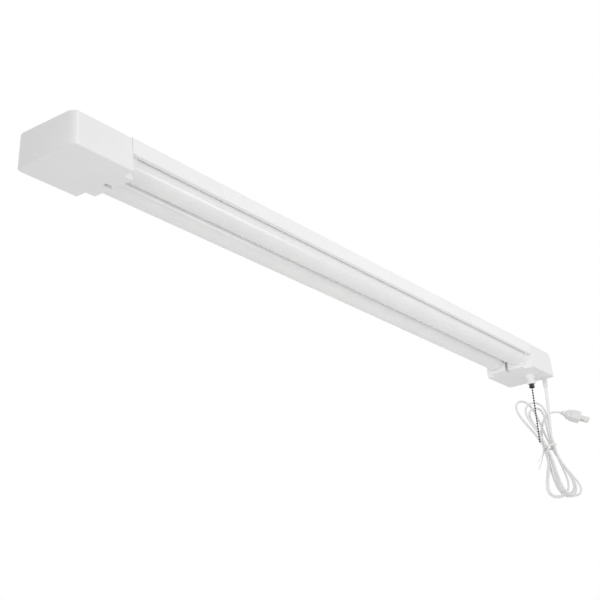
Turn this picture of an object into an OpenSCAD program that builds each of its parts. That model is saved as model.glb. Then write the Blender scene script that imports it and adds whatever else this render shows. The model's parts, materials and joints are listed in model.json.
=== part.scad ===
/* [Body] */
// Overall length over both end caps
body_l = 1219; // [1190:1:1245]
// Width of an end cap at its bottom face
cap_w = 92; // [90:0.5:94]
// Height from the bottom of the end caps to the top of the channel
body_h = 45; // [45:0.5:47]
// Length of the blank end cap along its side walls
blank_cap_l = 94.5; // [92:0.5:97]
// Length of the switch end cap along its side walls
switch_cap_l = 89; // [87:0.5:92]
// How far the tube sleeves stand out of the end caps
sleeve_out = 14.6; // [12:0.2:18]
// Wall thickness of the moulded end caps
cap_wall = 2.5; // [2:0.1:2.8]
// Plan radius of the outer corners of the blank end cap
blank_corner_r = 9.5; // [6:0.5:14]
// Plan radius of the outer corners of the switch end cap
switch_corner_r = 5; // [3:0.5:8]

/* [Channel] */
// Outside width of the steel channel
channel_w = 90; // [88:0.5:91]
// Height of the channel's side flanges
channel_h = 21; // [19:0.5:23]
// Thickness of the steel sheet
sheet_t = 0.8; // [0.7:0.1:0.9]
// Distance between the two pairs of hanging holes
hang_spacing = 800; // [600:10:900]
// Distance across a pair of hanging holes
hang_across = 79; // [78:0.5:80]
// Diameter of a hanging hole
hang_hole_d = 5; // [4.5:0.1:5.2]
// Distance between the two keyhole slots
keyhole_spacing = 960; // [920:10:1000]

/* [Tubes] */
// Outside diameter of a light tube
tube_d = 36; // [35:0.2:36.2]
// Wall thickness of a light tube
tube_wall = 1.4; // [1.2:0.1:1.6]
// Distance between the axes of the two tubes
tube_spacing = 40.3; // [40:0.1:41]
// Number of light-emitting packages on each board
led_count = 36; // [24:1:40]

/* [Pull switch] */
// Travel of the pull chain
pull_travel = 7; // [5:0.5:7]
// Diameter of a bead of the pull chain
bead_d = 3.4; // [3.2:0.1:3.6]
// Distance from bead to bead
bead_pitch = 4.8; // [4.6:0.1:5]
// Number of beads that hang below the bell
bead_count = 22; // [16:1:24]

/* [Cord] */
// Width of the flat two-core cord
cord_d = 6.4; // [6:0.1:6.4]
// Distance from loop to loop through the hank
hank_pitch = 8.6; // [8.4:0.1:8.8]

/* [Hidden] */

// Colours, as the light shows them
white = [0.93, 0.93, 0.92];
enamel = [0.95, 0.95, 0.94];
frosted = [0.89, 0.89, 0.90];
cord_white = [0.90, 0.90, 0.89];
steel = [0.75, 0.76, 0.77];
black = [0.10, 0.10, 0.11];

// Ends of the body. The blank cap is at -X and the switch cap at +X,
// and Z = 0 is the top of the channel.
end_x = body_l / 2;
blank_x = -end_x + blank_cap_l;
switch_x = end_x - switch_cap_l;
floor_z = -body_h;
seat_z = floor_z + cap_wall;

// End caps
side_draft = 1.5;
end_draft = 2.7;
edge_r = 0.8;
// Radius over the top of the sides, and over the top of each end
top_r = 3;
blank_end_r = 3;
switch_end_r = 12;
ledge_h = 3;
tongue_w = 80;
tongue_clear = 0.3;
// How far the channel's tongues stop short of the two ends
blank_tongue_in = 9.7;
switch_tongue_in = 17;
cap_gap = 0.4;

// Channel
bend_r = 1.8;
lip_w = 3.2;
keyhole_r = 5;
keyhole_slot_r = 2.6;
keyhole_slot_l = 9;

// Tubes
tube_r = tube_d / 2;
tube_y = tube_spacing / 2;
tube_z = -21;
tube_in = 16;
bore_r = tube_r + 0.1;
plug_flange = 2.5;
plug_spigot = 9;
pin_r = 1.2;
pin_l = 7;
pin_half_gap = 6.35;
holder_t = 4;
tube_end_b = blank_x - tube_in;
tube_end_s = switch_x + tube_in;
sink_r = tube_r - tube_wall - 0.3;
sink_t = 1.5;
sink_z = 5;
board_w = 14;
board_t = 1.4;

// Tube sleeves of the end caps: a thin ring on a foot
sleeve_r = 19.5;
foot_in = 2.5;
foot_out = 30.2;
sleeve_top = -3.4;

// Cap screws and their bosses, at these distances from the outer ends
screw_r = 1.3;
thread_r = 1.35;
head_r = 3;
head_h = 1.7;
boss_r = 4.4;
boss_y = 34;
blank_bosses = [15, 56];
switch_bosses = [24, 56];
holder_post_h = 6;

// Driver in the blank cap
board_x = -end_x + 35;
board_l = 44;
board_w_y = 50;
board_z = -36;
board_top = board_z + 1.6;
post_r = 3;

// Pull switch in the switch cap
pull_x = 567;
pull_y = -17.2;
bushing_r = 4.75;
collar_h = 16.5;
collar_top_r = 10.5;
collar_low_r = 7.4;
bell_h = 7;
bell_r = 5.4;
chain_bore_r = 2.6;
bell_z = floor_z - collar_h - bell_h;
swivel_z = bell_z - 0.2;
well_r = 7;
well_z = seat_z + 2;
// Room above the well for the slider, its spring and the travel
body_top_z = well_z + pull_travel + 13.5;

// Supply cord
exit_x = 599;
exit_y = -30;
relief_out = 20;
relief_in = 10;
cord_r = cord_d / 2;
// Turn of the hank's plane about Z, so that it faces the viewer
hank_turn = -55.65;
hank_turns = 3.5;
// Middle of the hank, as distances across, away from the viewer and up
hank_u = -6;
hank_n = 15.5;
hank_v = -128;
hank_waist = 6.5;
// Each fold in turn, a low one first: its lean from upright in degrees, its
// reach from the waist and its width. The outer entries only steer the ends.
hank_lean = [-14, 21, 16, 2, 14, 17, 25, 19, 5];
hank_reach = [90, 99, 86, 92, 77, 90, 101, 94, 90];
hank_spread = [38, 38, 38, 46, 31, 32, 33, 34, 34];
hank_straight = 7;
rings_per_loop = 24;
// Routes above the hank, in the same three directions
drop_route = [[0, 0, -20], [0, 0, -27], [-0.3, 0, -40], [-0.8, 0, -54], [-1.3, 0.1, -68],
    [-1.8, 0.2, -82], [-2.2, 0.3, -96], [-2.2, 0.4, -109]];
lead_route = [[-14.2, 31.2, -114], [-14.2, 32.2, -104.5], [-13.2, 33.2, -95], [-11, 34, -86],
    [-8, 34, -77.5], [-4, 34, -69.8], [0.2, 34, -64.8], [5.5, 34, -61], [11.5, 34, -58.6],
    [17.9, 34, -57.7], [24.4, 34, -58.4]];
plug_at = [28.2, 34, -59.8];
plug_dip = 20;
plug_l = 35;
tie_lean = 14;
tie_squeeze = 0.15;

// Small clearances
gap = 0.3;
eps = 0.01;
// Every cut runs past the face that it opens by this much
over = 1;

// ---------- Points and sweeps ----------

function unit(v) = v / norm(v);

// Catmull-Rom point between p1 and p2
function between(p0, p1, p2, p3, t) = 0.5 * (2 * p1 + (p2 - p0) * t
    + (2 * p0 - 5 * p1 + 4 * p2 - p3) * t * t
    + (3 * p1 - p0 - 3 * p2 + p3) * t * t * t);

// A smooth line through points, with steps stretches between neighbours
function smooth(p, steps) = let (n = len(p) - 1) concat(
    [for (i = [0 : n - 1], s = [0 : steps - 1])
        between(p[max(i - 1, 0)], p[i], p[i + 1], p[min(i + 2, n)], s / steps)],
    [p[n]]);

function tangent(p, i) = unit(p[min(i + 1, len(p) - 1)] - p[max(i - 1, 0)]);

// Side directions carried along a line without twisting about it
function carried(p, first) = [
    for (i = 0, s = unit(first - (first * tangent(p, 0)) * tangent(p, 0));
        i < len(p);
        i = i + 1,
        t = i < len(p) ? tangent(p, i) : [0, 0, 1],
        s = i < len(p) ? unit(s - (s * t) * t) : s) s];

// A closed tube of radius r along the points p
module tube_along(p, r, sides, first = [0.31, 0.87, 0.38]) {
    side = carried(p, first);
    rings = [for (i = [0 : len(p) - 1])
        let (t = tangent(p, i), b = cross(t, side[i]))
        for (k = [0 : sides - 1])
            p[i] + r * (cos(360 * k / sides) * side[i] + sin(360 * k / sides) * b)];
    last = (len(p) - 1) * sides;
    walls = [for (i = [0 : len(p) - 2], k = [0 : sides - 1])
        let (a = i * sides + k, b = i * sides + (k + 1) % sides)
        each [[a, a + sides, b], [b, a + sides, b + sides]]];
    ends = [for (k = [1 : sides - 2])
        each [[0, k, k + 1], [last, last + k + 1, last + k]]];
    polyhedron(points = rings, faces = concat(walls, ends), convexity = 8);
}

// From the hank's own directions (across, away, up) to the body's
function placed(q) = [
    exit_x + q[0] * cos(hank_turn) - q[1] * sin(hank_turn),
    exit_y + q[0] * sin(hank_turn) + q[1] * cos(hank_turn),
    floor_z + q[2]];

// ---------- End caps ----------

// How far a wall leans in at height z, with a radius r over its top
function lean_in(draft, r, z) = draft * (z - floor_z) / body_h
    + (z > -r ? r - sqrt(r * r - pow(min(z, -eps) + r, 2)) : 0);

// One thin level of a cap's block with its top at z, pulled in by in on all sides
module cap_level(cap_l, end_r, corner_r, z, in) {
    half_w = cap_w / 2 - lean_in(side_draft, top_r, z) - in;
    x0 = lean_in(end_draft, end_r, z) + in;
    r = max(corner_r - in, 1);
    translate([0, 0, z - eps]) linear_extrude(eps) union() {
        translate([x0 + r, -half_w]) square([cap_l - x0 - r, 2 * half_w]);
        translate([x0, -half_w + r]) square([r + eps, 2 * half_w - 2 * r]);
        for (side = [-1, 1]) translate([x0 + r, side * (half_w - r)])
            circle(r, $fn = 48);
    }
}

// The outside of a cap, with its lower edge eased and its top edges rounded
module cap_block(cap_l, end_r, corner_r) {
    hull() {
        cap_level(cap_l, end_r, corner_r, floor_z + eps, edge_r);
        cap_level(cap_l, end_r, corner_r, floor_z + edge_r, 0);
        for (z = [-end_r, -end_r / 2, -top_r, -top_r / 2, -0.4, 0])
            cap_level(cap_l, end_r, corner_r, z, 0);
    }
}

// The room inside a cap between two heights, in from the outside
module cap_room(cap_l, end_r, corner_r, z0, z1, in) {
    hull() {
        cap_level(cap_l, end_r, corner_r, z0 + eps, in);
        cap_level(cap_l, end_r, corner_r, min(-end_r, z1), in);
        cap_level(cap_l, end_r, corner_r, z1, in);
    }
}

// Profile of one tube sleeve, seen along the body: a ring that stands on a foot
module sleeve_profile() {
    intersection() {
        union() {
            translate([tube_y, tube_z]) circle(sleeve_r, $fn = 72);
            translate([foot_in, floor_z]) square([foot_out - foot_in, tube_z - floor_z]);
        }
        translate([-5, floor_z]) square([60, sleeve_top - floor_z]);
    }
}

// Turns a profile drawn as (y, z) to run along X from x0 to x1
module along_x(x0, x1) {
    translate([x0, 0, 0]) rotate([90, 0, 90]) linear_extrude(x1 - x0) children();
}

// Hole for a countersunk screw, with its top at the origin
module countersink(depth) {
    translate([0, 0, -depth]) cylinder(r = thread_r, h = depth + over, $fn = 24);
    translate([0, 0, -head_h]) cylinder(r1 = screw_r, r2 = head_r, h = head_h, $fn = 36);
    cylinder(r = head_r, h = over, $fn = 36);
}

// A cap in its own place: outer end at x = 0, open towards +x
module cap_shell(cap_l, end_r, corner_r, tongue_in, bosses) {
    difference() {
        union() {
            difference() {
                cap_block(cap_l, end_r, corner_r);
                // Room up to the ledge, then the narrower mouth above it
                cap_room(cap_l + over, end_r, corner_r, seat_z, -ledge_h - sheet_t, cap_wall);
                translate([tongue_in + 2, -tongue_w / 2 + 2, -2 * ledge_h])
                    cube([cap_l, tongue_w - 4, 2 * ledge_h + over]);
                // Recess for the channel's tongue
                translate([tongue_in - 0.7, -tongue_w / 2 - tongue_clear, -sheet_t])
                    cube([cap_l, tongue_w + 2 * tongue_clear, 2 * sheet_t + over]);
            }
            // Wall across the inner end, with the sleeves for the tubes
            translate([cap_l - cap_wall, -cap_w / 2 + cap_wall, floor_z])
                cube([cap_wall, cap_w - 2 * cap_wall, body_h - sheet_t]);
            for (side = [0, 1]) mirror([0, side, 0])
                along_x(cap_l - eps, cap_l + sleeve_out) sleeve_profile();
            for (x = bosses, side = [-1, 1]) {
                translate([x, side * boss_y, seat_z - eps])
                    cylinder(r = boss_r, h = -sheet_t - seat_z + eps, $fn = 32);
                // Web that ties the boss to the side wall
                translate([x - 1, side > 0 ? boss_y : -cap_w / 2 + cap_wall, seat_z - eps])
                    cube([2, cap_w / 2 - cap_wall - boss_y, 30]);
            }
        }
        for (side = [-1, 1]) translate([cap_l - cap_wall - over, side * tube_y, tube_z])
            rotate([0, 90, 0])
                cylinder(r = bore_r, h = cap_wall + sleeve_out + 2 * over, $fn = 72);
        for (x = bosses, side = [-1, 1]) translate([x, side * boss_y, 0]) countersink(14);
        // Way through for the wires, under the channel
        translate([cap_l - cap_wall - over, -15, -5])
            cube([cap_wall + 2 * over, 30, 5 + over]);
    }
}

// Post on a cap's floor for a small screw
module post(x, y, r, h) {
    difference() {
        translate([x, y, seat_z - eps]) cylinder(r = r, h = h + eps, $fn = 32);
        translate([x, y, seat_z + 0.5]) cylinder(r = thread_r, h = h, $fn = 24);
    }
}

holder_post_x = tube_in + plug_flange + gap + 7;

module blank_end_cap() {
    color(white) union() {
        translate([-end_x, 0, 0])
            cap_shell(blank_cap_l, blank_end_r, blank_corner_r, blank_tongue_in, blank_bosses);
        for (x = [-1, 1], y = [-1, 1])
            post(board_x + x * (board_l / 2 - 4), y * (board_w_y / 2 - 4), post_r, board_z - seat_z);
        for (y = [-24, 24]) post(blank_x - holder_post_x, y, 2.9, holder_post_h);
    }
}

module switch_end_cap() {
    color(white) difference() {
        union() {
            translate([end_x, 0, 0]) rotate([0, 0, 180])
                cap_shell(switch_cap_l, switch_end_r, switch_corner_r, switch_tongue_in,
                    switch_bosses);
            for (y = [-24, 24]) post(switch_x + holder_post_x, y, 2.9, holder_post_h);
        }
        translate([pull_x, pull_y, floor_z - over])
            cylinder(r = bushing_r + 0.2, h = cap_wall + 2 * over, $fn = 48);
        translate([0, 0, floor_z - over]) relief_outline(0.2, cap_wall + 2 * over);
    }
}

// Pan-head screw with its head's underside at the origin, pointing down
module pan_screw(len) {
    difference() {
        union() {
            cylinder(r = 2.6, h = 1, $fn = 36);
            translate([0, 0, 1]) cylinder(r1 = 2.6, r2 = 1.6, h = 0.6, $fn = 36);
            translate([0, 0, -len]) cylinder(r = screw_r, h = len + eps, $fn = 24);
        }
        for (a = [0, 90]) rotate([0, 0, a]) translate([-1.2, -0.35, 0.7])
            cube([2.4, 0.7, 2]);
    }
}

// Countersunk screw with its top at the origin, pointing down
module flat_screw(len) {
    difference() {
        union() {
            translate([0, 0, -head_h])
                cylinder(r1 = screw_r, r2 = head_r, h = head_h, $fn = 36);
            translate([0, 0, -len]) cylinder(r = screw_r, h = len - head_h + eps, $fn = 24);
        }
        for (a = [0, 90]) rotate([0, 0, a]) translate([-1.4, -0.4, -1])
            cube([2.8, 0.8, 2]);
    }
}

// Places its children at the top of each cap screw
module at_cap_screws() {
    for (side = [-1, 1]) {
        for (in = blank_bosses) translate([-end_x + in, side * boss_y, 0]) children();
        for (in = switch_bosses) translate([end_x - in, side * boss_y, 0]) children();
    }
}

module cap_screws() {
    color(steel) at_cap_screws() flat_screw(12);
}

// ---------- Channel ----------

// Section of the channel: web, bent corners, side flanges and turned-in lips
module channel_profile() {
    half = channel_w / 2;
    module shell(in, r, h) {
        translate([-half + in, -h]) square([channel_w - 2 * in, h - in - r]);
        translate([-half + in + r, -h]) square([channel_w - 2 * in - 2 * r, h - in]);
        for (side = [-1, 1]) translate([side * (half - in - r), -in - r])
            circle(r, $fn = 32);
    }
    difference() {
        shell(0, bend_r, channel_h);
        shell(sheet_t, bend_r - sheet_t, channel_h + over);
    }
    for (side = [0, 1]) mirror([side, 0])
        translate([-half, -channel_h]) square([lip_w + sheet_t, sheet_t]);
}

// Web that lies on top of a cap
module tongue(x0, x1, r) {
    translate([0, 0, -sheet_t]) linear_extrude(sheet_t) union() {
        translate([min(x0, x1 + sign(x0 - x1) * r), -tongue_w / 2])
            square([abs(x1 - x0) - r, tongue_w]);
        translate([x1 + sign(x0 - x1) * r - (x1 > x0 ? 0 : r), -tongue_w / 2 + r])
            square([r, tongue_w - 2 * r]);
        for (side = [-1, 1])
            translate([x1 + sign(x0 - x1) * r, side * (tongue_w / 2 - r)])
                circle(r, $fn = 32);
    }
}

module channel() {
    color(enamel) difference() {
        union() {
            along_x(blank_x + cap_gap, switch_x - cap_gap) channel_profile();
            tongue(blank_x + over, -end_x + blank_tongue_in, 5);
            tongue(switch_x - over, end_x - switch_tongue_in, 5);
        }
        // Holes for hanging hooks
        for (x = [-1, 1], y = [-1, 1])
            translate([x * hang_spacing / 2, y * hang_across / 2, -sheet_t - over])
                cylinder(d = hang_hole_d, h = sheet_t + 2 * over, $fn = 32);
        // Keyhole slots for fixing flat to a ceiling
        for (x = [-1, 1]) translate([x * keyhole_spacing / 2, 0, -sheet_t - over]) {
            cylinder(r = keyhole_r, h = sheet_t + 2 * over, $fn = 48);
            translate([0, -keyhole_slot_r, 0])
                cube([keyhole_slot_l, 2 * keyhole_slot_r, sheet_t + 2 * over]);
            translate([keyhole_slot_l, 0, 0])
                cylinder(r = keyhole_slot_r, h = sheet_t + 2 * over, $fn = 32);
        }
        at_cap_screws() countersink(2);
    }
}

// ---------- Tubes ----------

// Moves its children to one tube's axis and turns Z to lie along +X
module on_tube(side, x) {
    translate([x, side * tube_y, tube_z]) rotate([0, 90, 0]) children();
}

module light_tube(side) {
    color(frosted) difference() {
        on_tube(side, tube_end_b) cylinder(r = tube_r, h = tube_end_s - tube_end_b, $fn = 96);
        on_tube(side, tube_end_b - over)
            cylinder(r = tube_r - tube_wall, h = tube_end_s - tube_end_b + 2 * over, $fn = 96);
    }
}

module front_tube() {
    light_tube(-1);
}

module rear_tube() {
    light_tube(1);
}

// Extruded aluminium carrier in the upper part of a tube
module heat_sink(side) {
    x0 = tube_end_b + plug_spigot + 1;
    x1 = tube_end_s - plug_spigot - 1;
    color(steel) translate([0, side * tube_y, tube_z]) along_x(x0, x1) {
        difference() {
            circle(sink_r, $fn = 72);
            circle(sink_r - sink_t, $fn = 72);
            translate([-tube_r, -tube_d]) square([tube_d, tube_d + sink_z]);
        }
        half = sqrt(sink_r * sink_r - sink_z * sink_z) - 0.3;
        translate([-half, sink_z]) square([2 * half, sink_t]);
    }
}

module front_heat_sink() {
    heat_sink(-1);
}

module rear_heat_sink() {
    heat_sink(1);
}

// Strip board under the carrier, with its row of light-emitting packages
module led_board(side) {
    x0 = tube_end_b + plug_spigot + 3;
    x1 = tube_end_s - plug_spigot - 3;
    step = (x1 - x0) / led_count;
    color([0.96, 0.96, 0.93]) translate([0, side * tube_y, tube_z + sink_z - board_t]) {
        translate([x0, -board_w / 2, 0]) cube([x1 - x0, board_w, board_t]);
        for (i = [0 : led_count - 1])
            translate([x0 + (i + 0.5) * step - 1.75, -1.4, -0.7]) cube([3.5, 2.8, 0.7 + eps]);
    }
}

module front_led_board() {
    led_board(-1);
}

module rear_led_board() {
    led_board(1);
}

// Moulded plug in a tube's end: flange, ribbed spigot and two pin holes.
// dir is 1 where the tube lies on the +X side of the plug.
module end_plug(side, x, dir) {
    color(white) difference() {
        translate([x, side * tube_y, tube_z]) rotate([0, 90 * dir, 0]) {
            translate([0, 0, -plug_flange]) cylinder(r = tube_r, h = plug_flange, $fn = 72);
            difference() {
                cylinder(r = tube_r - tube_wall - 0.05, h = plug_spigot, $fn = 72);
                translate([0, 0, 2]) cylinder(r = tube_r - tube_wall - 2, h = plug_spigot, $fn = 72);
            }
            for (a = [0 : 60 : 120]) rotate([0, 0, a])
                translate([-tube_r + tube_wall + 1.5, -0.6, 0])
                    cube([tube_d - 2 * tube_wall - 3, 1.2, 5]);
        }
        for (s = [-1, 1]) translate([x - 10, side * tube_y + s * pin_half_gap, tube_z])
            rotate([0, 90, 0]) cylinder(r = pin_r, h = 20, $fn = 24);
    }
}

module front_blank_end_plug() {
    end_plug(-1, tube_end_b, 1);
}

module rear_blank_end_plug() {
    end_plug(1, tube_end_b, 1);
}

module front_switch_end_plug() {
    end_plug(-1, tube_end_s, -1);
}

module rear_switch_end_plug() {
    end_plug(1, tube_end_s, -1);
}

// Brass pins that stand out of the plugs into the holders
module contact_pins() {
    color("gold") for (side = [-1, 1], s = [-1, 1], end = [0, 1])
        translate([end == 0 ? tube_end_b - plug_flange - pin_l
                : tube_end_s - plug_spigot + 1, side * tube_y + s * pin_half_gap, tube_z])
            rotate([0, 90, 0])
                cylinder(r = pin_r, h = plug_flange + pin_l + plug_spigot - 1, $fn = 24);
}

// Holder that locates both tube ends. dir points away from the tubes.
module tube_holder(x, dir) {
    color(white) difference() {
        union() {
            for (side = [-1, 1]) translate([x, side * tube_y, tube_z])
                rotate([0, 90 * dir, 0]) cylinder(r = 17.5, h = holder_t, $fn = 64);
            translate([min(x, x + dir * holder_t), -tube_y, tube_z - 10])
                cube([holder_t, tube_spacing, 14]);
            translate([min(x, x + dir * holder_t), -34, seat_z])
                cube([holder_t, 68, 8]);
            // Ear that rests on the cap's post
            for (y = [-24, 24]) translate([min(x, x + dir * 10), y - 3.4, seat_z + holder_post_h])
                cube([10, 6.8, 2]);
        }
        for (side = [-1, 1], s = [-1, 1])
            translate([x - 15, side * tube_y + s * pin_half_gap, tube_z])
                rotate([0, 90, 0]) cylinder(r = pin_r + 0.1, h = 30, $fn = 24);
        for (y = [-24, 24]) translate([x + dir * 7, y, seat_z])
            cylinder(r = 1.6, h = holder_post_h + 2 + over, $fn = 24);
    }
}

module blank_end_holder() {
    tube_holder(tube_end_b - plug_flange - gap, -1);
}

module switch_end_holder() {
    tube_holder(tube_end_s + plug_flange + gap, 1);
}

module holder_screws() {
    color(steel) for (x = [blank_x - holder_post_x, switch_x + holder_post_x], y = [-24, 24])
        translate([x, y, seat_z + holder_post_h + 2]) pan_screw(6.5);
}

// ---------- Driver ----------

module driver_board() {
    color("darkgreen") difference() {
        translate([board_x - board_l / 2, -board_w_y / 2, board_z])
            cube([board_l, board_w_y, 1.6]);
        for (x = [-1, 1], y = [-1, 1])
            translate([board_x + x * (board_l / 2 - 4), y * (board_w_y / 2 - 4), board_z - over])
                cylinder(r = 1.6, h = 4, $fn = 24);
    }
}

module driver_transformer() {
    translate([board_x, 0, board_top]) {
        color("goldenrod") translate([-8, -9, 0]) cube([16, 18, 4]);
        color([0.2, 0.2, 0.22]) translate([-10, -7, 4 - eps]) cube([20, 14, 11]);
        color("goldenrod") translate([-6, -9, 6]) cube([12, 18, 7]);
    }
}

module driver_capacitors() {
    color([0.15, 0.2, 0.35]) for (p = [[-9, -17.5, 5, 16], [12, 17, 4, 12], [0, 18, 4, 12]])
        translate([board_x + p[0], p[1], board_top]) {
            cylinder(r = p[2], h = p[3], $fn = 36);
            translate([0, 0, p[3] - eps])
                cylinder(r1 = p[2], r2 = p[2] - 0.6, h = 0.6, $fn = 36);
        }
}

module driver_choke() {
    color([0.6, 0.35, 0.1]) translate([board_x + 3, -18, board_top + 6])
        rotate([90, 0, 0]) rotate_extrude($fn = 48) translate([4.2, 0]) circle(1.8, $fn = 24);
}

module driver_terminals() {
    color([0.9, 0.9, 0.88]) for (p = [[16, 0, 16, 2], [-16, 0, 24, 4]]) difference() {
        translate([board_x + p[0] - 4, p[1] - p[2] / 2, board_top]) cube([8, p[2], 9]);
        // Screw wells of the clamps
        for (i = [0 : p[3] - 1])
            translate([board_x + p[0] + sign(p[0]) * 2, p[1] + (i - (p[3] - 1) / 2) * p[2] / p[3],
                board_top + 6]) cylinder(r = 1.5, h = 4, $fn = 24);
    }
}

module driver_screws() {
    color(steel) for (x = [-1, 1], y = [-1, 1])
        translate([board_x + x * (board_l / 2 - 4), y * (board_w_y / 2 - 4), board_top])
            pan_screw(6);
}

// ---------- Wiring ----------

wire_r = 0.9;
wire_z = -sheet_t - 0.25 - wire_r;
line_y = 8.6;
neutral_y = 11.4;
terminal_z = board_top + 9;
input_x = board_x + 15;
output_x = board_x - 17;
splice_x = 583;
splice_y = 16;
splice_z = -24;
contact_z = body_top_z + 3;

// The long wires lie under the channel's web, past the keyholes
module line_wire() {
    color([0.15, 0.15, 0.15]) tube_along(smooth([
        [pull_x - 6, pull_y, contact_z], [pull_x - 6, pull_y, contact_z + 1.5],
        [pull_x - 6, pull_y, contact_z + 3],
        [pull_x - 11, pull_y + 8, -10], [548, 2, -6], [536, line_y, wire_z],
        [520, line_y, wire_z], [0, line_y, wire_z], [-500, line_y, wire_z],
        [-524, line_y, wire_z], [-540, 6, -5], [-552, 0, -10],
        [input_x, -4, -16], [input_x, -4, -20.5], [input_x, -4, terminal_z]], 2), wire_r, 8);
}

module neutral_wire() {
    color([0.9, 0.9, 0.9]) tube_along(smooth([
        [splice_x - 7, splice_y, splice_z], [splice_x - 8.5, splice_y, splice_z],
        [splice_x - 10, splice_y, splice_z],
        [564, 15, -16], [550, 13, -7], [536, neutral_y, wire_z],
        [520, neutral_y, wire_z], [0, neutral_y, wire_z], [-500, neutral_y, wire_z],
        [-524, neutral_y, wire_z], [-540, 10.5, -5], [-552, 7, -10],
        [input_x, 4, -16], [input_x, 4, -20.5], [input_x, 4, terminal_z]], 2), wire_r, 8);
}

// Leads from the driver to the pins of the two tubes
module tube_leads() {
    color([0.75, 0.1, 0.1]) for (side = [-1, 1], s = [0, 1]) {
        pin_x = tube_end_b - plug_flange - pin_l;
        pin_y = side * (tube_y + (s * 2 - 1) * pin_half_gap);
        out_y = side * (3 + s * 6);
        tube_along(smooth([
            [pin_x, pin_y, tube_z], [pin_x - 2.5, pin_y, tube_z], [pin_x - 5, pin_y, tube_z],
            [-556, side * (18 + s * 8), -12], [-572, side * (14 + s * 9), -9],
            [-588, side * (7 + s * 8), -10], [output_x, out_y, -16],
            [output_x, out_y, -20.5], [output_x, out_y, terminal_z]], 2), 0.8, 8);
    }
}

module wire_clips() {
    color(white) for (x = [-360, -120, 120, 360]) difference() {
        translate([x - 4, line_y - 2, -4]) cube([8, neutral_y - line_y + 4, 4 - sheet_t]);
        for (y = [line_y, neutral_y]) translate([x - 5, y, wire_z])
            rotate([0, 90, 0]) cylinder(r = wire_r + 0.15, h = 10, $fn = 24);
    }
}

// Crimped connector between the cord's neutral core and the long wire
module splice() {
    color([0.2, 0.35, 0.75]) translate([splice_x - 8, splice_y, splice_z])
        rotate([0, 90, 0]) difference() {
            union() {
                cylinder(r = 2.3, h = 16, $fn = 36);
                translate([0, 0, 3]) cylinder(r = 2.7, h = 10, $fn = 36);
            }
            translate([0, 0, -over]) cylinder(r = 1.2, h = 2, $fn = 24);
            translate([0, 0, 15]) cylinder(r = 1.2, h = 2, $fn = 24);
        }
}

// ---------- Pull switch ----------

module switch_body() {
    color([0.2, 0.2, 0.2]) difference() {
        translate([pull_x, pull_y, seat_z]) union() {
            cylinder(r = 11, h = body_top_z - seat_z - 1, $fn = 64);
            cylinder(r = 10, h = body_top_z - seat_z, $fn = 64);
            // Contact posts
            for (s = [-1, 1]) translate([s * 6, 0, 0])
                cylinder(r = 2, h = contact_z - seat_z, $fn = 32);
        }
        // Well for the slider and its spring
        translate([pull_x, pull_y, well_z])
            cylinder(r = well_r, h = body_top_z - well_z - 2, $fn = 48);
        translate([pull_x, pull_y, seat_z - over])
            cylinder(r = bushing_r + 0.05, h = 4, $fn = 48);
    }
}

module switch_bushing() {
    color(steel) difference() {
        translate([pull_x, pull_y, floor_z - collar_h])
            cylinder(r = bushing_r, h = well_z - floor_z + collar_h - 0.2, $fn = 48);
        translate([pull_x, pull_y, floor_z - collar_h - over])
            cylinder(r = chain_bore_r, h = 40, $fn = 36);
    }
}

// Fluted collar that clamps the switch to the cap
module switch_collar() {
    color(white) difference() {
        translate([pull_x, pull_y, floor_z - collar_h]) rotate_extrude($fn = 64)
            polygon([[0, 0], [collar_low_r - 0.6, 0], [collar_low_r, 0.6],
                [collar_low_r, 9], [collar_low_r + 0.8, 11], [collar_top_r, 15],
                [collar_top_r, collar_h], [0, collar_h]]);
        translate([pull_x, pull_y, floor_z - collar_h - over])
            cylinder(r = bushing_r + 0.05, h = collar_h + 2 * over, $fn = 48);
        for (a = [0 : 30 : 330]) translate([pull_x, pull_y, floor_z - collar_h - over])
            rotate([0, 0, a]) translate([collar_low_r + 0.5, 0, 0])
                cylinder(r = 0.9, h = 9, $fn = 16);
    }
}

// Bell mouth that guides the chain when it is pulled sideways
module switch_bell() {
    color(black) translate([pull_x, pull_y, bell_z]) difference() {
        rotate_extrude($fn = 64) polygon(concat(
            [[0, bell_h], [0, 0]],
            [for (a = [0 : 15 : 90]) [bell_r - 1 + sin(a), 1 - cos(a)]],
            [[bell_r - 0.2, 2.4], [4.6, 4], [4.5, 5.6], [5.1, bell_h]]));
        translate([0, 0, -over]) cylinder(r = chain_bore_r, h = bell_h + 2 * over, $fn = 36);
        translate([0, 0, -eps]) cylinder(r1 = 4.2, r2 = chain_bore_r, h = 2.4, $fn = 48);
    }
}

// A bead of the chain
module bead(z) {
    translate([pull_x, pull_y, z]) sphere(d = bead_d, $fn = 24);
}

// The thin waisted link from bead to bead
module link(z, h) {
    translate([pull_x, pull_y, z - h]) cylinder(r = 0.5, h = h, $fn = 16);
}

// A run of beads from the top one down, on one unbroken wire
module bead_run(top_z, count) {
    for (i = [0 : count - 1]) bead(top_z - i * bead_pitch);
    link(top_z, (count - 1) * bead_pitch);
}

slider_top_z = body_top_z - 2.4;

// Sliding head inside the switch, with the beads that stay in the bushing
module switch_slider() {
    color("gold") {
        translate([pull_x, pull_y, slider_top_z - 3]) cylinder(r = 6.4, h = 3, $fn = 48);
        translate([pull_x, pull_y, well_z - 1]) cylinder(r = 2, h = slider_top_z - well_z, $fn = 32);
        bead_run(swivel_z + 4 * bead_pitch, 4);
        link(well_z, well_z - swivel_z - 4 * bead_pitch);
        link(swivel_z + bead_pitch, bead_pitch - bead_d / 2 - gap);
    }
}

spring_r = 4.6;
spring_wire_r = 0.5;
spring_turns = 5;
spring_low_z = well_z + spring_wire_r + 0.1;
spring_high_z = slider_top_z - 3 - spring_wire_r - 0.1;

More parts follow.
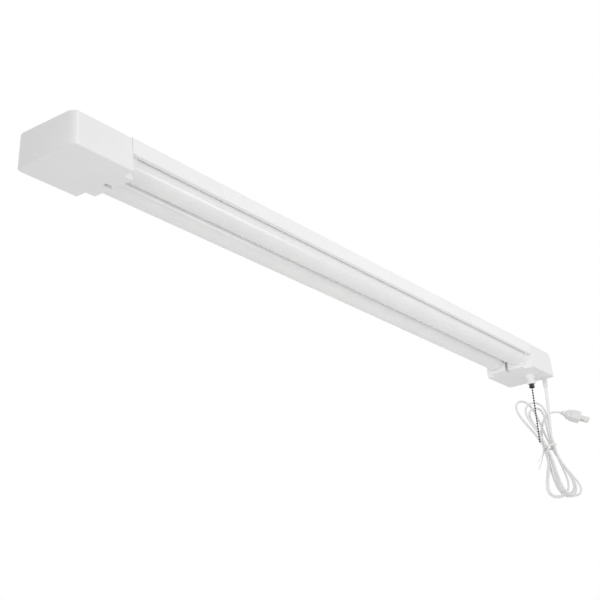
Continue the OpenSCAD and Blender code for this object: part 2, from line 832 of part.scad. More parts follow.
module return_spring() {
    color(steel) tube_along([for (i = [0 : spring_turns * 10])
        [pull_x + spring_r * cos(36 * i), pull_y + spring_r * sin(36 * i),
         spring_low_z + (spring_high_z - spring_low_z) * i / (spring_turns * 10)]],
        spring_wire_r, 6);
}

half_beads = floor(bead_count / 2);
middle_z = swivel_z - half_beads * bead_pitch;
// The link that meets a swivel bead stops just short of it
shy = bead_d / 2 + 0.15;

module chain_swivel_bead() {
    color(black) bead(swivel_z);
}

module chain_upper() {
    color(black) {
        bead_run(swivel_z - bead_pitch, half_beads - 1);
        link(swivel_z - shy, bead_pitch - shy);
        link(middle_z + bead_pitch, bead_pitch - shy);
    }
}

module chain_middle_bead() {
    color(black) bead(middle_z);
}

module chain_lower() {
    color(black) {
        bead_run(middle_z - bead_pitch, bead_count - half_beads - 1);
        link(middle_z - shy, bead_pitch - shy);
    }
}

// ---------- Supply cord ----------

// Outline of the oval hole for the strain relief, grown by extra
module relief_outline(extra, h) {
    translate([exit_x, exit_y, 0]) rotate([0, 0, hank_turn]) {
        for (s = [-1, 1]) translate([s * 1.7, 0, 0])
            cylinder(r = 2.5 + extra, h = h, $fn = 36);
        translate([-1.7, -2.5 - extra, 0]) cube([3.4, 5 + 2 * extra, h]);
    }
}

// Tapered sleeve with a grooved neck that grips the cap's floor
module strain_relief() {
    color(cord_white) difference() {
        union() {
            translate([0, 0, floor_z]) relief_outline(0, cap_wall);
            translate([0, 0, seat_z]) relief_outline(1, relief_in - cap_wall);
            hull() {
                translate([0, 0, floor_z - 1.6]) relief_outline(0.6, 1.6);
                translate([0, 0, floor_z - relief_out]) relief_outline(-0.4, 0.1);
            }
        }
        for (z = [6, 9.5, 13]) translate([0, 0, floor_z - z]) difference() {
            relief_outline(2, 1.2);
            translate([0, 0, -over]) relief_outline(-0.5, 4);
        }
    }
}

relief_top_z = floor_z + relief_in;

// The cord's two cores inside the cap: one to the switch, one to the splice
module cord_inner_end() {
    color(cord_white) {
        tube_along(smooth([
            [exit_x - 1.2, exit_y + 1.6, relief_top_z], [exit_x - 1.2, exit_y + 1.6, relief_top_z + 1.5],
            [exit_x - 1.2, exit_y + 1.6, relief_top_z + 3],
            [exit_x - 5, -24, -24], [exit_x - 13, -19, -12], [pull_x + 10, pull_y, -9],
            [pull_x + 6, pull_y, contact_z + 3], [pull_x + 6, pull_y, contact_z + 1.5],
            [pull_x + 6, pull_y, contact_z]], 2), 0.95, 8);
        tube_along(smooth([
            [exit_x + 1.2, exit_y - 1.6, relief_top_z], [exit_x + 1.2, exit_y - 1.6, relief_top_z + 1.5],
            [exit_x + 1.2, exit_y - 1.6, relief_top_z + 3],
            [exit_x + 1, -24, -26], [exit_x + 1, -8, -20], [exit_x + 1, 8, -21],
            [exit_x - 4, splice_y, -24], [splice_x + 10, splice_y, splice_z],
            [splice_x + 8.5, splice_y, splice_z], [splice_x + 7, splice_y, splice_z]], 2), 0.95, 8);
    }
}

// Value of a list of folds after t turns, eased from one fold to the next
function eased(folds, t) =
    let (q = 2 * t + 0.5,
        i = floor(q),
        a = folds[i],
        b = folds[min(i + 1, len(folds) - 1)])
    a + (b - a) * (1 - cos(180 * (q - i))) / 2;

// Sideways reach of a loop at angle a, narrow at the waist and round at the folds
function loop_side(a, spread) = sin(a) * (hank_waist + (spread - hank_waist) * pow(cos(a), 2));

// A point of the hank after t turns. It starts at the waist and goes down.
function hank_point(t) =
    let (a = 90 + 360 * t,
        s = eased(hank_reach, t) * cos(a),
        side = loop_side(a, eased(hank_spread, t)),
        lean = eased(hank_lean, t))
    [hank_u - s * sin(lean) + side * cos(lean),
     hank_n + (t - hank_turns / 2) * hank_pitch,
     hank_v + s * cos(lean) + side * sin(lean)];

hank_rings = hank_turns * rings_per_loop;
hank_turned = [for (i = [0 : hank_rings]) hank_point(i / rings_per_loop)];
// Both ends run straight on for a cord's width, up from the waist
up_first = unit(hank_turned[0] - hank_turned[1]);
up_last = unit(hank_turned[hank_rings] - hank_turned[hank_rings - 1]);
hank_line = concat(
    [hank_turned[0] + hank_straight * up_first],
    hank_turned,
    [hank_turned[hank_rings] + hank_straight * up_last]);

// The hank's least gap to itself, measured on its points
hank_gap = min([for (i = [0 : len(hank_line) - 8], j = [i + 7 : len(hank_line) - 1])
    norm(hank_line[i] - hank_line[j]) - cord_d]);
echo(least_gap_in_hank_mm = hank_gap);

module cord_hank() {
    color(cord_white) tube_along([for (q = hank_line) placed(q)], cord_r, 6);
}

module cord_drop() {
    color(cord_white) tube_along([for (q = concat(drop_route,
        [hank_line[0] + 7 * up_first, hank_line[0]])) placed(q)], cord_r, 8);
}

module cord_plug_lead() {
    last = len(hank_line) - 1;
    color(cord_white) tube_along([for (q = concat(
        [hank_line[last], hank_line[last] + 7 * up_last], lead_route, [plug_at])) placed(q)],
        cord_r, 8);
}

// Wire tie round the waist of the hank, with its two twisted tails
module twist_tie() {
    color("white") translate(placed([hank_u, hank_n, hank_v])) rotate([0, 0, hank_turn])
        rotate([0, -tie_lean, 0]) {
            difference() {
                translate([0, 0, -1.5]) linear_extrude(3) tie_outline(1);
                translate([0, 0, -2.5]) linear_extrude(5) tie_outline(0);
            }
            for (s = [0, 1]) translate([-hank_waist - cord_r - 0.4, -8 + s * 1.6, 0])
                rotate([0, 37 + 8 * s, 0]) translate([-0.6, -0.5, -42 + 10 * s])
                    cube([1.2, 1, 42 - 10 * s]);
        }
}

module tie_outline(extra) {
    half_u = hank_waist + cord_r - tie_squeeze + extra;
    half_n = hank_turns * hank_pitch / 2 + cord_r - tie_squeeze + extra;
    r = 5;
    translate([-half_u + r, -half_n]) square([2 * half_u - 2 * r, 2 * half_n]);
    translate([-half_u, -half_n + r]) square([2 * half_u, 2 * half_n - 2 * r]);
    for (x = [-1, 1], y = [-1, 1]) translate([x * (half_u - r), y * (half_n - r)])
        circle(r, $fn = 32);
}

// Places its children at the plug's rear end: +Z points along its blades
module at_plug() {
    translate(placed(plug_at)) rotate([0, 0, hank_turn]) rotate([0, 90 + plug_dip, 0])
        children();
}

// Moulded plug: tapered neck, waisted grip and flat face
module plug_body() {
    color(cord_white) at_plug() difference() {
        hull_chain([[0, 4.2, 3], [5, 4.6, 3.6], [11, 8.8, 7.4], [13.6, 9.9, 8.2],
            [16, 9.6, 7.2], [18.6, 12.6, 8.5], [plug_l - 1, 13, 8.5], [plug_l, 12.4, 7.9]]);
        for (s = [-1, 1]) translate([-4, s * 6.35 - 0.77, plug_l - 7])
            cube([8, 1.54, 7 + over]);
    }
}

// Hulls of neighbouring rounded sections: [z, half width along Y, half width along X]
module hull_chain(sections) {
    for (i = [0 : len(sections) - 2]) hull() for (j = [i, i + 1]) {
        q = sections[j];
        r = min(q[2] - 0.4, 3);
        translate([0, 0, q[0]]) linear_extrude(eps) for (x = [-1, 1], y = [-1, 1])
            translate([x * (q[2] - r), y * (q[1] - r)]) circle(r, $fn = 16);
    }
}

// Flat blade with a hole near its tip
module blade(width) {
    difference() {
        translate([-width / 2, -0.75, 0]) cube([width, 1.5, 24]);
        translate([0, 0, 19]) rotate([90, 0, 0]) cylinder(r = 1.6, h = 4, center = true, $fn = 24);
    }
}

module plug_blade_narrow() {
    color(steel) at_plug() translate([0, -6.35, plug_l - 7]) blade(6.35);
}

module plug_blade_wide() {
    color(steel) at_plug() translate([0, 6.35, plug_l - 7]) blade(7.9);
}

channel();
blank_end_cap();
switch_end_cap();
cap_screws();
front_tube();
rear_tube();
front_heat_sink();
rear_heat_sink();
front_led_board();
rear_led_board();
front_blank_end_plug();
rear_blank_end_plug();
front_switch_end_plug();
rear_switch_end_plug();
contact_pins();
blank_end_holder();
switch_end_holder();
holder_screws();
driver_board();
driver_transformer();
driver_capacitors();
driver_choke();
driver_terminals();
driver_screws();
line_wire();
neutral_wire();
tube_leads();
wire_clips();
splice();
switch_body();
switch_bushing();
switch_collar();
switch_bell();
switch_slider();
return_spring();
chain_swivel_bead();
chain_upper();
chain_middle_bead();
chain_lower();
strain_relief();
cord_inner_end();
cord_drop();
cord_hank();
cord_plug_lead();
twist_tie();
plug_body();
plug_blade_narrow();
plug_blade_wide();
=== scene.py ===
# %% [markdown]
# # A hanging shop light
#
# This lesson dresses a long twin-tube shop light that was first built as exact
# solids. The light hangs overhead, so it is seen from below: a white steel
# channel, a moulded cap at each end, two frosted tubes, a pull chain and a flat
# cord tied in a hank. The solids arrive as a fixed frame, in metres, and every
# piece made here goes where they are.

# %% Load the frame and its record
import json
import math

import bmesh
import bpy
from mathutils import Matrix, Vector

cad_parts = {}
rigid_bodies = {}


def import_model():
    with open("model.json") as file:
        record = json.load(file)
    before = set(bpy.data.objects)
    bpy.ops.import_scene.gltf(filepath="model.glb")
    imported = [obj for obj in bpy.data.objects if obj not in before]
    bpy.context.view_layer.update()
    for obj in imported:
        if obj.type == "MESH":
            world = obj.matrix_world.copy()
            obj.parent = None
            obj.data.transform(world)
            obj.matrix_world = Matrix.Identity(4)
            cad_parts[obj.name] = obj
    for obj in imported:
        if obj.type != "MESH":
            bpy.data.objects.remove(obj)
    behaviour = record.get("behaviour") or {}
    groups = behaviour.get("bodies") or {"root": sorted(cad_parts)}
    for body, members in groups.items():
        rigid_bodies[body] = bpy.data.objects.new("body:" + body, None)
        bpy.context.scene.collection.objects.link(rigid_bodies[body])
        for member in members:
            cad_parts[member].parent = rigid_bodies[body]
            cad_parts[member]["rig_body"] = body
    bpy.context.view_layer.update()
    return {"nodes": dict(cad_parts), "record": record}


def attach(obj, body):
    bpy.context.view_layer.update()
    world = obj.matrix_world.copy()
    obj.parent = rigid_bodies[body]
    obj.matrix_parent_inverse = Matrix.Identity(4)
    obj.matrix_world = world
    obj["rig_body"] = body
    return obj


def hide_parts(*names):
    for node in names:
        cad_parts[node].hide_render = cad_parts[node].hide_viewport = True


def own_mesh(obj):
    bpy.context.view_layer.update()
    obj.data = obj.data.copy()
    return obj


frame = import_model()
MM = 0.001

# %% [markdown]
# ## Camera
#
# The photograph looks up at the light from near its blank end. A camera can be
# set by eye, or solved from measured points of the picture. Here it was solved,
# and its place and three turns are written down as plain numbers. The lens has
# no shift and no blur, so the other views stay honest.

# %% Place the camera
YAW, PITCH, ROLL = 0.599, 0.368, -0.074
EYE = Vector((-1.4183, -0.8758, -0.6826))
SENSOR_MM, FOCAL_PX, PHOTO_PX = 36, 1207.891, 600
forward = Vector((math.cos(YAW) * math.cos(PITCH), math.sin(YAW) * math.cos(PITCH),
                  math.sin(PITCH)))
level_right = Vector((math.sin(YAW), -math.cos(YAW), 0))
level_up = level_right.cross(forward)
right = math.cos(ROLL) * level_right + math.sin(ROLL) * level_up
up = -math.sin(ROLL) * level_right + math.cos(ROLL) * level_up

camera_data = bpy.data.cameras.new("camera")
camera_data.sensor_width = SENSOR_MM
camera_data.lens = SENSOR_MM * FOCAL_PX / PHOTO_PX
camera_data.clip_start = 0.05
camera_data.clip_end = 60
camera = bpy.data.objects.new("camera", camera_data)
bpy.context.scene.collection.objects.link(camera)
turn = Matrix((right, up, -forward)).transposed().to_4x4()
camera.matrix_world = Matrix.Translation(EYE) @ turn
bpy.context.scene.camera = camera
print("camera lens:", round(camera_data.lens, 2), "mm")

# %% [markdown]
# ## Route of the cord
#
# The supply cord is a flat two-core vinyl cord, 6.4 mm wide and half as thick.
# It leaves the switch cap through a strain relief, hangs down, and its spare
# length is folded into a hank held by a tie. A route could be drawn by hand as
# a curve, but a hank follows a rule: every turn goes down to a low fold, up to
# a high fold and through a narrow waist. The rule and its few numbers are the
# same as those of the solids, so the cord lies inside them.

# %% Directions of the hank: across, away from the camera, and up
EXIT = Vector((599, -30, -45))
HANK_TURN = math.radians(-55.65)
ACROSS = Vector((math.cos(HANK_TURN), math.sin(HANK_TURN), 0))
AWAY = Vector((-math.sin(HANK_TURN), math.cos(HANK_TURN), 0))
UP = Vector((0, 0, 1))


def hung(across, away, height):
    """A point given in the hank's own directions, in metres in the frame."""
    return (EXIT + across * ACROSS + away * AWAY + height * UP) * MM


print("cord leaves at", [round(x, 3) for x in hung(0, 0, -20)])

# %% Rule of the hank
TURNS, TURN_STEPS, LOOP_STEP, WAIST = 3.5, 48, 8.6, 6.5
MIDDLE = (-6, 15.5, -128)
# One value for each fold in turn: its lean in degrees, its reach and its half width
LEAN = [-14, 21, 16, 2, 14, 17, 25, 19, 5]
REACH = [90, 99, 86, 92, 77, 90, 101, 94, 90]
SPREAD = [38, 38, 38, 46, 31, 32, 33, 34, 34]


def eased(folds, t):
    """Value of a list of folds after t turns, eased from fold to fold."""
    q = 2 * t + 0.5
    i = int(math.floor(q))
    a, b = folds[i], folds[min(i + 1, len(folds) - 1)]
    return a + (b - a) * (1 - math.cos(math.pi * (q - i))) / 2


def hank_point(t):
    """A point of the hank, in its own directions, in millimetres."""
    a = math.radians(90 + 360 * t)
    reach = eased(REACH, t) * math.cos(a)
    side = math.sin(a) * (WAIST + (eased(SPREAD, t) - WAIST) * math.cos(a) ** 2)
    lean = math.radians(eased(LEAN, t))
    return Vector((MIDDLE[0] - reach * math.sin(lean) + side * math.cos(lean),
                   MIDDLE[1] + (t - TURNS / 2) * LOOP_STEP,
                   MIDDLE[2] + reach * math.cos(lean) + side * math.sin(lean)))


turned = [hank_point(i / TURN_STEPS) for i in range(int(TURNS * TURN_STEPS) + 1)]
up_first = (turned[0] - turned[1]).normalized()
up_last = (turned[-1] - turned[-2]).normalized()
print("hank:", len(turned), "points")

# %% The whole route, from the strain relief to the plug
DROP = [(0, 0, -19), (0, 0, -27), (-0.3, 0, -40), (-0.8, 0, -54), (-1.3, 0.1, -68),
        (-1.8, 0.2, -82), (-2.2, 0.3, -96), (-2.2, 0.4, -109)]
LEAD = [(-14.2, 31.2, -114), (-14.2, 32.2, -104.5), (-13.2, 33.2, -95), (-11, 34, -86),
        (-8, 34, -77.5), (-4, 34, -69.8), (0.2, 34, -64.8), (5.5, 34, -61),
        (11.5, 34, -58.6), (17.9, 34, -57.7), (24.4, 34, -58.4)]
PLUG_AT = Vector((28.2, 34, -59.8))
PLUG_DIP = math.radians(20)
RUN_IN, ROUTE_STEPS = 7, 3


def smooth_route(points, steps):
    """A Catmull-Rom line through points, as a list with its first point first."""
    p = [Vector(q) for q in points]
    made = []
    for i in range(len(p) - 1):
        p0, p1, p2, p3 = p[max(i - 1, 0)], p[i], p[i + 1], p[min(i + 2, len(p) - 1)]
        for s in range(steps):
            t = s / steps
            made.append(0.5 * (2 * p1 + (p2 - p0) * t + (2 * p0 - 5 * p1 + 4 * p2 - p3) * t * t
                               + (3 * p1 - p0 - 3 * p2 + p3) * t ** 3))
    return made


drop_line = smooth_route(DROP + [turned[0] + RUN_IN * up_first, turned[0]], ROUTE_STEPS)
lead_line = smooth_route([turned[-1], turned[-1] + RUN_IN * up_last] + LEAD + [PLUG_AT],
                         ROUTE_STEPS)
route = drop_line + turned + lead_line[1:] + [PLUG_AT]

# %% [markdown]
# ## Helpers for meshes
#
# Most pieces here are either lofts, where closed rings are joined one to the
# next, or copies of a solid with its edges eased. Each helper makes one kind of
# mesh, in place, so that the object itself stays at the origin.

# %% New object from points and faces
def new_piece(name, points, faces, material, smooth_below=40):
    """A mesh object at the origin. Edges that turn less than smooth_below stay soft."""
    mesh = bpy.data.meshes.new(name)
    mesh.from_pydata([tuple(p) for p in points], [], faces)
    mesh.validate()
    mesh.shade_smooth()
    mesh.set_sharp_from_angle(angle=math.radians(smooth_below))
    mesh.materials.append(material)
    piece = bpy.data.objects.new(name, mesh)
    bpy.context.scene.collection.objects.link(piece)
    return piece


def ring_faces(rings, sides):
    """Quads from each ring of points to the next, and one face over each end."""
    faces = []
    for i in range(rings - 1):
        for k in range(sides):
            a, b = i * sides + k, i * sides + (k + 1) % sides
            faces.append((a, b, b + sides, a + sides))
    faces.append(tuple(reversed(range(sides))))
    faces.append(tuple(range((rings - 1) * sides, rings * sides)))
    return faces


print("mesh helpers ready")

# %% Colours and nodes for materials
def colour(code):
    """An sRGB hex code as the linear colour that Blender's sockets take."""
    parts = [int(code[i:i + 2], 16) / 255 for i in (1, 3, 5)]
    return [p / 12.92 if p <= 0.04045 else ((p + 0.055) / 1.055) ** 2.4 for p in parts] + [1]


def add_node(tree, kind, settings=None, values=None, links=None):
    """Adds one node: its settings, its input values and what feeds its inputs."""
    node = tree.nodes.new(kind)
    for key, value in (settings or {}).items():
        setattr(node, key, value)
    for key, value in (values or {}).items():
        node.inputs[key].default_value = value
    for key, socket in (links or {}).items():
        tree.links.new(socket, node.inputs[key])
    return node


def new_material(name):
    """An empty material's tree, with its output and its object coordinates."""
    material = bpy.data.materials.new(name)
    material.use_nodes = True
    material.node_tree.nodes.clear()
    place = add_node(material.node_tree, "ShaderNodeTexCoord")
    return material, material.node_tree, place.outputs["Object"]


def end_material(tree, shader):
    add_node(tree, "ShaderNodeOutputMaterial", links={"Surface": shader.outputs["BSDF"]})


print("white #EDEDEC is", [round(c, 3) for c in colour("#EDEDEC")[:3]])

# %% [markdown]
# ## White enamel of the channel
#
# The channel is folded steel sheet with a baked gloss enamel. Sprayed enamel
# has a faint orange peel, waves of a few millimetres that break up the edge of
# a reflection. The peel is a low bump here, and a second slow noise lets the
# white drift by a shade, as a long painted sheet does.

# %% Enamelled steel
def painted_white(name, tone, shade, roughness, wave_mm, depth_mm, drift_mm):
    """A white finish with a low wavy bump and a slow drift between two close tones."""
    material, tree, place = new_material(name)
    drift = add_node(tree, "ShaderNodeTexNoise",
                     values={"Scale": 1 / (drift_mm * MM), "Detail": 3.0, "Roughness": 0.5},
                     links={"Vector": place})
    tones = add_node(tree, "ShaderNodeValToRGB", links={"Fac": drift.outputs["Fac"]})
    tones.color_ramp.elements[0].position = 0.3
    tones.color_ramp.elements[0].color = colour(shade)
    tones.color_ramp.elements[1].position = 0.7
    tones.color_ramp.elements[1].color = colour(tone)
    wave = add_node(tree, "ShaderNodeTexNoise",
                    values={"Scale": 1 / (wave_mm * MM), "Detail": 2.0, "Roughness": 0.45},
                    links={"Vector": place})
    bump = add_node(tree, "ShaderNodeBump",
                    values={"Strength": 0.35, "Distance": depth_mm * MM},
                    links={"Height": wave.outputs["Fac"]})
    gloss = add_node(tree, "ShaderNodeMapRange",
                     values={"From Min": 0.3, "From Max": 0.7, "To Min": roughness * 0.85,
                             "To Max": roughness * 1.2},
                     links={"Value": drift.outputs["Fac"]})
    shader = add_node(tree, "ShaderNodeBsdfPrincipled", values={"IOR": 1.5},
                      links={"Base Color": tones.outputs["Color"],
                             "Roughness": gloss.outputs["Result"],
                             "Normal": bump.outputs["Normal"]})
    end_material(tree, shader)
    return material


enamelled_steel = painted_white("enamelled_steel", "#F2F2F2", "#EFEFF0", 0.28, 3.0, 0.02, 120)
print("finish:", enamelled_steel.name)

# %% [markdown]
# ## Moulded ABS of the caps
#
# The caps, sleeves and end plugs are injection-moulded white ABS. The mould was
# spark-eroded, which leaves a fine even grain that scatters the light to a
# satin. The real grain is about 0.1 mm, and it is drawn at 0.6 mm so that it
# still shows close up. Its grain is finer and its sheen duller than enamel. The
# plastic film of the twist tie is greyer and duller still.

# %% Satin ABS, and the film of the twist tie
satin_abs = painted_white("satin_abs", "#EEEEEF", "#EBEBEC", 0.36, 0.6, 0.02, 60)
plastic_film = painted_white("plastic_film", "#E6E6E4", "#E0E0DD", 0.5, 0.4, 0.03, 15)
print("finishes:", satin_abs.name, plastic_film.name)

# %% [markdown]
# ## Frosted polycarbonate of the tubes
#
# A light tube is extruded polycarbonate with a diffusing powder in it. Unlit, it
# is a cool pale grey with a soft sheen, and its extruder leaves faint lines
# along its length. Real light goes into the wall and out again, so a little
# subsurface scatter softens the shading. The lines are a noise stretched along
# X with a Mapping node.

# %% Frosted tube
def frosted_tube_finish():
    material, tree, place = new_material("frosted_polycarbonate")
    stretched = add_node(tree, "ShaderNodeMapping", values={"Scale": (4, 900, 900)},
                         links={"Vector": place})
    lines = add_node(tree, "ShaderNodeTexNoise",
                     values={"Scale": 1.0, "Detail": 3.0, "Roughness": 0.6},
                     links={"Vector": stretched.outputs["Vector"]})
    bump = add_node(tree, "ShaderNodeBump", values={"Strength": 0.2, "Distance": 0.02 * MM},
                    links={"Height": lines.outputs["Fac"]})
    cloud = add_node(tree, "ShaderNodeTexNoise",
                     values={"Scale": 1 / (45 * MM), "Detail": 3.0, "Roughness": 0.5},
                     links={"Vector": place})
    tones = add_node(tree, "ShaderNodeValToRGB", links={"Fac": cloud.outputs["Fac"]})
    tones.color_ramp.elements[0].position = 0.3
    tones.color_ramp.elements[0].color = colour("#EDEDEE")
    tones.color_ramp.elements[1].position = 0.7
    tones.color_ramp.elements[1].color = colour("#F1F1F1")
    shader = add_node(tree, "ShaderNodeBsdfPrincipled",
                      values={"IOR": 1.58, "Roughness": 0.24, "Subsurface Weight": 0.15,
                              "Subsurface Radius": (3 * MM, 3 * MM, 3 * MM),
                              "Subsurface Scale": 1.0},
                      links={"Base Color": tones.outputs["Color"],
                             "Normal": bump.outputs["Normal"]})
    end_material(tree, shader)
    return material


frosted_polycarbonate = frosted_tube_finish()
print("finish:", frosted_polycarbonate.name)

# %% [markdown]
# ## Vinyl of the cord
#
# Lamp cord is soft white PVC, extruded over two stranded cores. The lay of the
# strands shows through as a very low ripple, and handling leaves a slightly
# greasy sheen. The ripple follows the cord, so it reads the sheet of UV
# coordinates that the cord's own mesh gets, in which V runs along its length.
# The plug and the strain relief are moulded later from a harder vinyl with a
# fine grain, so the same function makes them without ripple. Their darker grey
# is painted shade.

# %% Soft vinyl
def soft_vinyl_finish(name, along_cord, tone, shade):
    material, tree, place = new_material(name)
    cloud = add_node(tree, "ShaderNodeTexNoise",
                     values={"Scale": 1 / (18 * MM), "Detail": 3.0, "Roughness": 0.55},
                     links={"Vector": place})
    tones = add_node(tree, "ShaderNodeValToRGB", links={"Fac": cloud.outputs["Fac"]})
    tones.color_ramp.elements[0].position = 0.3
    tones.color_ramp.elements[0].color = colour(shade)
    tones.color_ramp.elements[1].position = 0.7
    tones.color_ramp.elements[1].color = colour(tone)
    if along_cord:
        # One wave takes about 19 mm of cord, the lay of its strands
        sheet = add_node(tree, "ShaderNodeUVMap", settings={"uv_map": "along"})
        ripple = add_node(tree, "ShaderNodeTexWave",
                          settings={"wave_type": "BANDS", "bands_direction": "DIAGONAL"},
                          values={"Scale": 0.2, "Distortion": 0.6, "Detail": 1.0},
                          links={"Vector": sheet.outputs["UV"]})
        height = ripple.outputs["Fac"]
    else:
        grain = add_node(tree, "ShaderNodeTexNoise",
                         values={"Scale": 1 / (0.8 * MM), "Detail": 2.0},
                         links={"Vector": place})
        height = grain.outputs["Fac"]
    bump = add_node(tree, "ShaderNodeBump", values={"Strength": 0.15, "Distance": 0.02 * MM},
                    links={"Height": height})
    shader = add_node(tree, "ShaderNodeBsdfPrincipled",
                      values={"IOR": 1.53, "Roughness": 0.38},
                      links={"Base Color": tones.outputs["Color"],
                             "Normal": bump.outputs["Normal"]})
    end_material(tree, shader)
    return material


cord_vinyl = soft_vinyl_finish("cord_vinyl", True, "#EAEAEA", "#E3E3E3")
# The plug's and the relief's darker tones are painted shade.
plug_vinyl_painted_shade = soft_vinyl_finish("plug_vinyl_painted_shade", False, "#DFDFDF", "#D8D8D8")
print("finishes:", cord_vinyl.name, plug_vinyl_painted_shade.name)

# %% [markdown]
# ## Metals
#
# Five metals are used: black oxide on the bell and the beads, zinc plate on the
# screws, nickel on the plug's blades, bare brass on the switch's slider, and
# plain extruded aluminium inside the tubes. Each is a metallic surface whose
# base colour is its reflection. Black oxide is dark and is always oiled against
# rust, so it gets a thin clear coat, which gives the bell and the beads their
# small bright glints. Handling and machining show as small changes in
# roughness.

# %% Metal finishes
def metal_finish(name, tone, shade, roughness, patch_mm, scratch=(1, 1, 1), oiled=0.0):
    """A bare or plated metal whose tone and gloss vary in patches, stretched by scratch."""
    material, tree, place = new_material(name)
    stretched = add_node(tree, "ShaderNodeMapping", values={"Scale": scratch},
                         links={"Vector": place})
    patch = add_node(tree, "ShaderNodeTexNoise",
                     values={"Scale": 1 / (patch_mm * MM), "Detail": 4.0, "Roughness": 0.6},
                     links={"Vector": stretched.outputs["Vector"]})
    tones = add_node(tree, "ShaderNodeValToRGB", links={"Fac": patch.outputs["Fac"]})
    tones.color_ramp.elements[0].position = 0.35
    tones.color_ramp.elements[0].color = colour(shade)
    tones.color_ramp.elements[1].position = 0.65
    tones.color_ramp.elements[1].color = colour(tone)
    gloss = add_node(tree, "ShaderNodeMapRange",
                     values={"From Min": 0.3, "From Max": 0.7, "To Min": roughness * 0.7,
                             "To Max": roughness * 1.4},
                     links={"Value": patch.outputs["Fac"]})
    bump = add_node(tree, "ShaderNodeBump", values={"Strength": 0.15, "Distance": 0.02 * MM},
                    links={"Height": patch.outputs["Fac"]})
    shader = add_node(tree, "ShaderNodeBsdfPrincipled",
                      values={"Metallic": 1.0, "Coat Weight": oiled, "Coat Roughness": 0.08},
                      links={"Base Color": tones.outputs["Color"],
                             "Roughness": gloss.outputs["Result"],
                             "Normal": bump.outputs["Normal"]})
    end_material(tree, shader)
    return material


black_oxide = metal_finish("black_oxide_steel", "#3A3A3C", "#252527", 0.25, 2.0,
                           oiled=0.8)
zinc_plate = metal_finish("zinc_plated_steel", "#C9CACC", "#B4B6B9", 0.32, 1.5)
nickel_plate = metal_finish("nickel_plated_brass", "#E0E0DF", "#D3D3D2", 0.24, 1.5, (1, 6, 1))
extruded_aluminium = metal_finish("extruded_aluminium", "#D2D3D5", "#C2C4C7", 0.4, 6.0,
                                  (0.02, 1, 1))
bare_brass = metal_finish("bare_brass", "#D9B56A", "#C39A4E", 0.3, 2.0)
print("metals:", [m.name for m in (black_oxide, zinc_plate, nickel_plate,
                                    extruded_aluminium, bare_brass)])

# %% [markdown]
# ## Parts that stay inside
#
# The driver, the wires and the boards can't be seen from outside, but they are
# real pieces with real finishes: glass-fibre laminate under green solder mask,
# ferrite, shrink sleeve, enamelled copper and coloured vinyl. One function
# gives each of them a mottled dielectric surface at its own scale.

# %% Finishes of the inner parts
def mottled_plastic(name, tone, shade, roughness, patch_mm):
    """A coloured dielectric with a patchy tone and a fine bump."""
    material, tree, place = new_material(name)
    patch = add_node(tree, "ShaderNodeTexNoise",
                     values={"Scale": 1 / (patch_mm * MM), "Detail": 3.0},
                     links={"Vector": place})
    tones = add_node(tree, "ShaderNodeValToRGB", links={"Fac": patch.outputs["Fac"]})
    tones.color_ramp.elements[0].position = 0.35
    tones.color_ramp.elements[0].color = colour(shade)
    tones.color_ramp.elements[1].position = 0.65
    tones.color_ramp.elements[1].color = colour(tone)
    bump = add_node(tree, "ShaderNodeBump", values={"Strength": 0.3, "Distance": 0.03 * MM},
                    links={"Height": patch.outputs["Fac"]})
    shader = add_node(tree, "ShaderNodeBsdfPrincipled",
                      values={"IOR": 1.5, "Roughness": roughness},
                      links={"Base Color": tones.outputs["Color"],
                             "Normal": bump.outputs["Normal"]})
    end_material(tree, shader)
    return material


inner = {
    "led_board": mottled_plastic("white_solder_mask", "#F1F0E8", "#E8E7DD", 0.35, 3.0),
    "circuit_board": mottled_plastic("green_solder_mask", "#1E5A32", "#174A29", 0.3, 2.0),
    "ferrite": mottled_plastic("sintered_ferrite", "#3C3C40", "#2C2C30", 0.6, 0.6),
    "capacitor_sleeve": mottled_plastic("shrink_sleeve", "#26335A", "#1D2848", 0.25, 4.0),
    "choke_wire": mottled_plastic("enamelled_copper", "#9A5526", "#7E421A", 0.25, 0.8),
    "line_insulation": mottled_plastic("black_vinyl", "#242424", "#191919", 0.4, 3.0),
    "neutral_insulation": mottled_plastic("white_vinyl", "#E2E2DF", "#D8D8D4", 0.4, 3.0),
    "lead_insulation": mottled_plastic("red_vinyl", "#B3201E", "#981716", 0.4, 3.0),
    "splice_sleeve": mottled_plastic("blue_nylon", "#2D58B4", "#23489A", 0.35, 2.0),
    "switch_plastic": mottled_plastic("black_phenolic", "#2B2B2B", "#1F1F1F", 0.5, 1.2),
}
print("inner finishes:", len(inner))

# %% Give every solid the finish of its slot
finish_of_slot = {
    "enamelled_steel": enamelled_steel, "cap_plastic": satin_abs, "zinc_steel": zinc_plate,
    "frosted_tube": frosted_polycarbonate, "aluminium": extruded_aluminium,
    "brass": bare_brass, "black_metal": black_oxide, "cord_vinyl": plug_vinyl_painted_shade,
    "tie_plastic": plastic_film, "nickel_brass": nickel_plate, **inner}
slot_of_node = {row["node"]: row["material_slot"] for row in frame["record"]["subparts"]}
for node_name, solid in frame["nodes"].items():
    solid.data.materials.clear()
    solid.data.materials.append(finish_of_slot[slot_of_node[node_name]])
print("solids finished:", len(slot_of_node))

# %% [markdown]
# ## The flat cord
#
# A flat cord isn't a round tube: its section is a figure of eight, two round
# cores side by side with a shallow groove between them. It bends easily only
# across its thin way, so in the hank its broad sides face into and out of each
# fold, and the camera sees mostly its edge. By the exit its broad side faces
# the camera, and it turns on the way down. A curve with a bevel would hide
# that, so the section is carried along the route ring by ring.

# %% Section of the cord, and its turn along the route
CORE_R, CORE_OFF, GROOVE = 1.62, 1.56, 1.02
section = [(math.cos(a) * CORE_R + CORE_OFF, math.sin(a) * CORE_R)
           for a in (math.radians(d) for d in range(-112, 113, 28))]
section = section + [(0, GROOVE)] + [(-x, -y) for x, y in section] + [(0, -GROOVE)]
print("section:", len(section), "points,", round(2 * (CORE_R + CORE_OFF), 2), "mm wide")


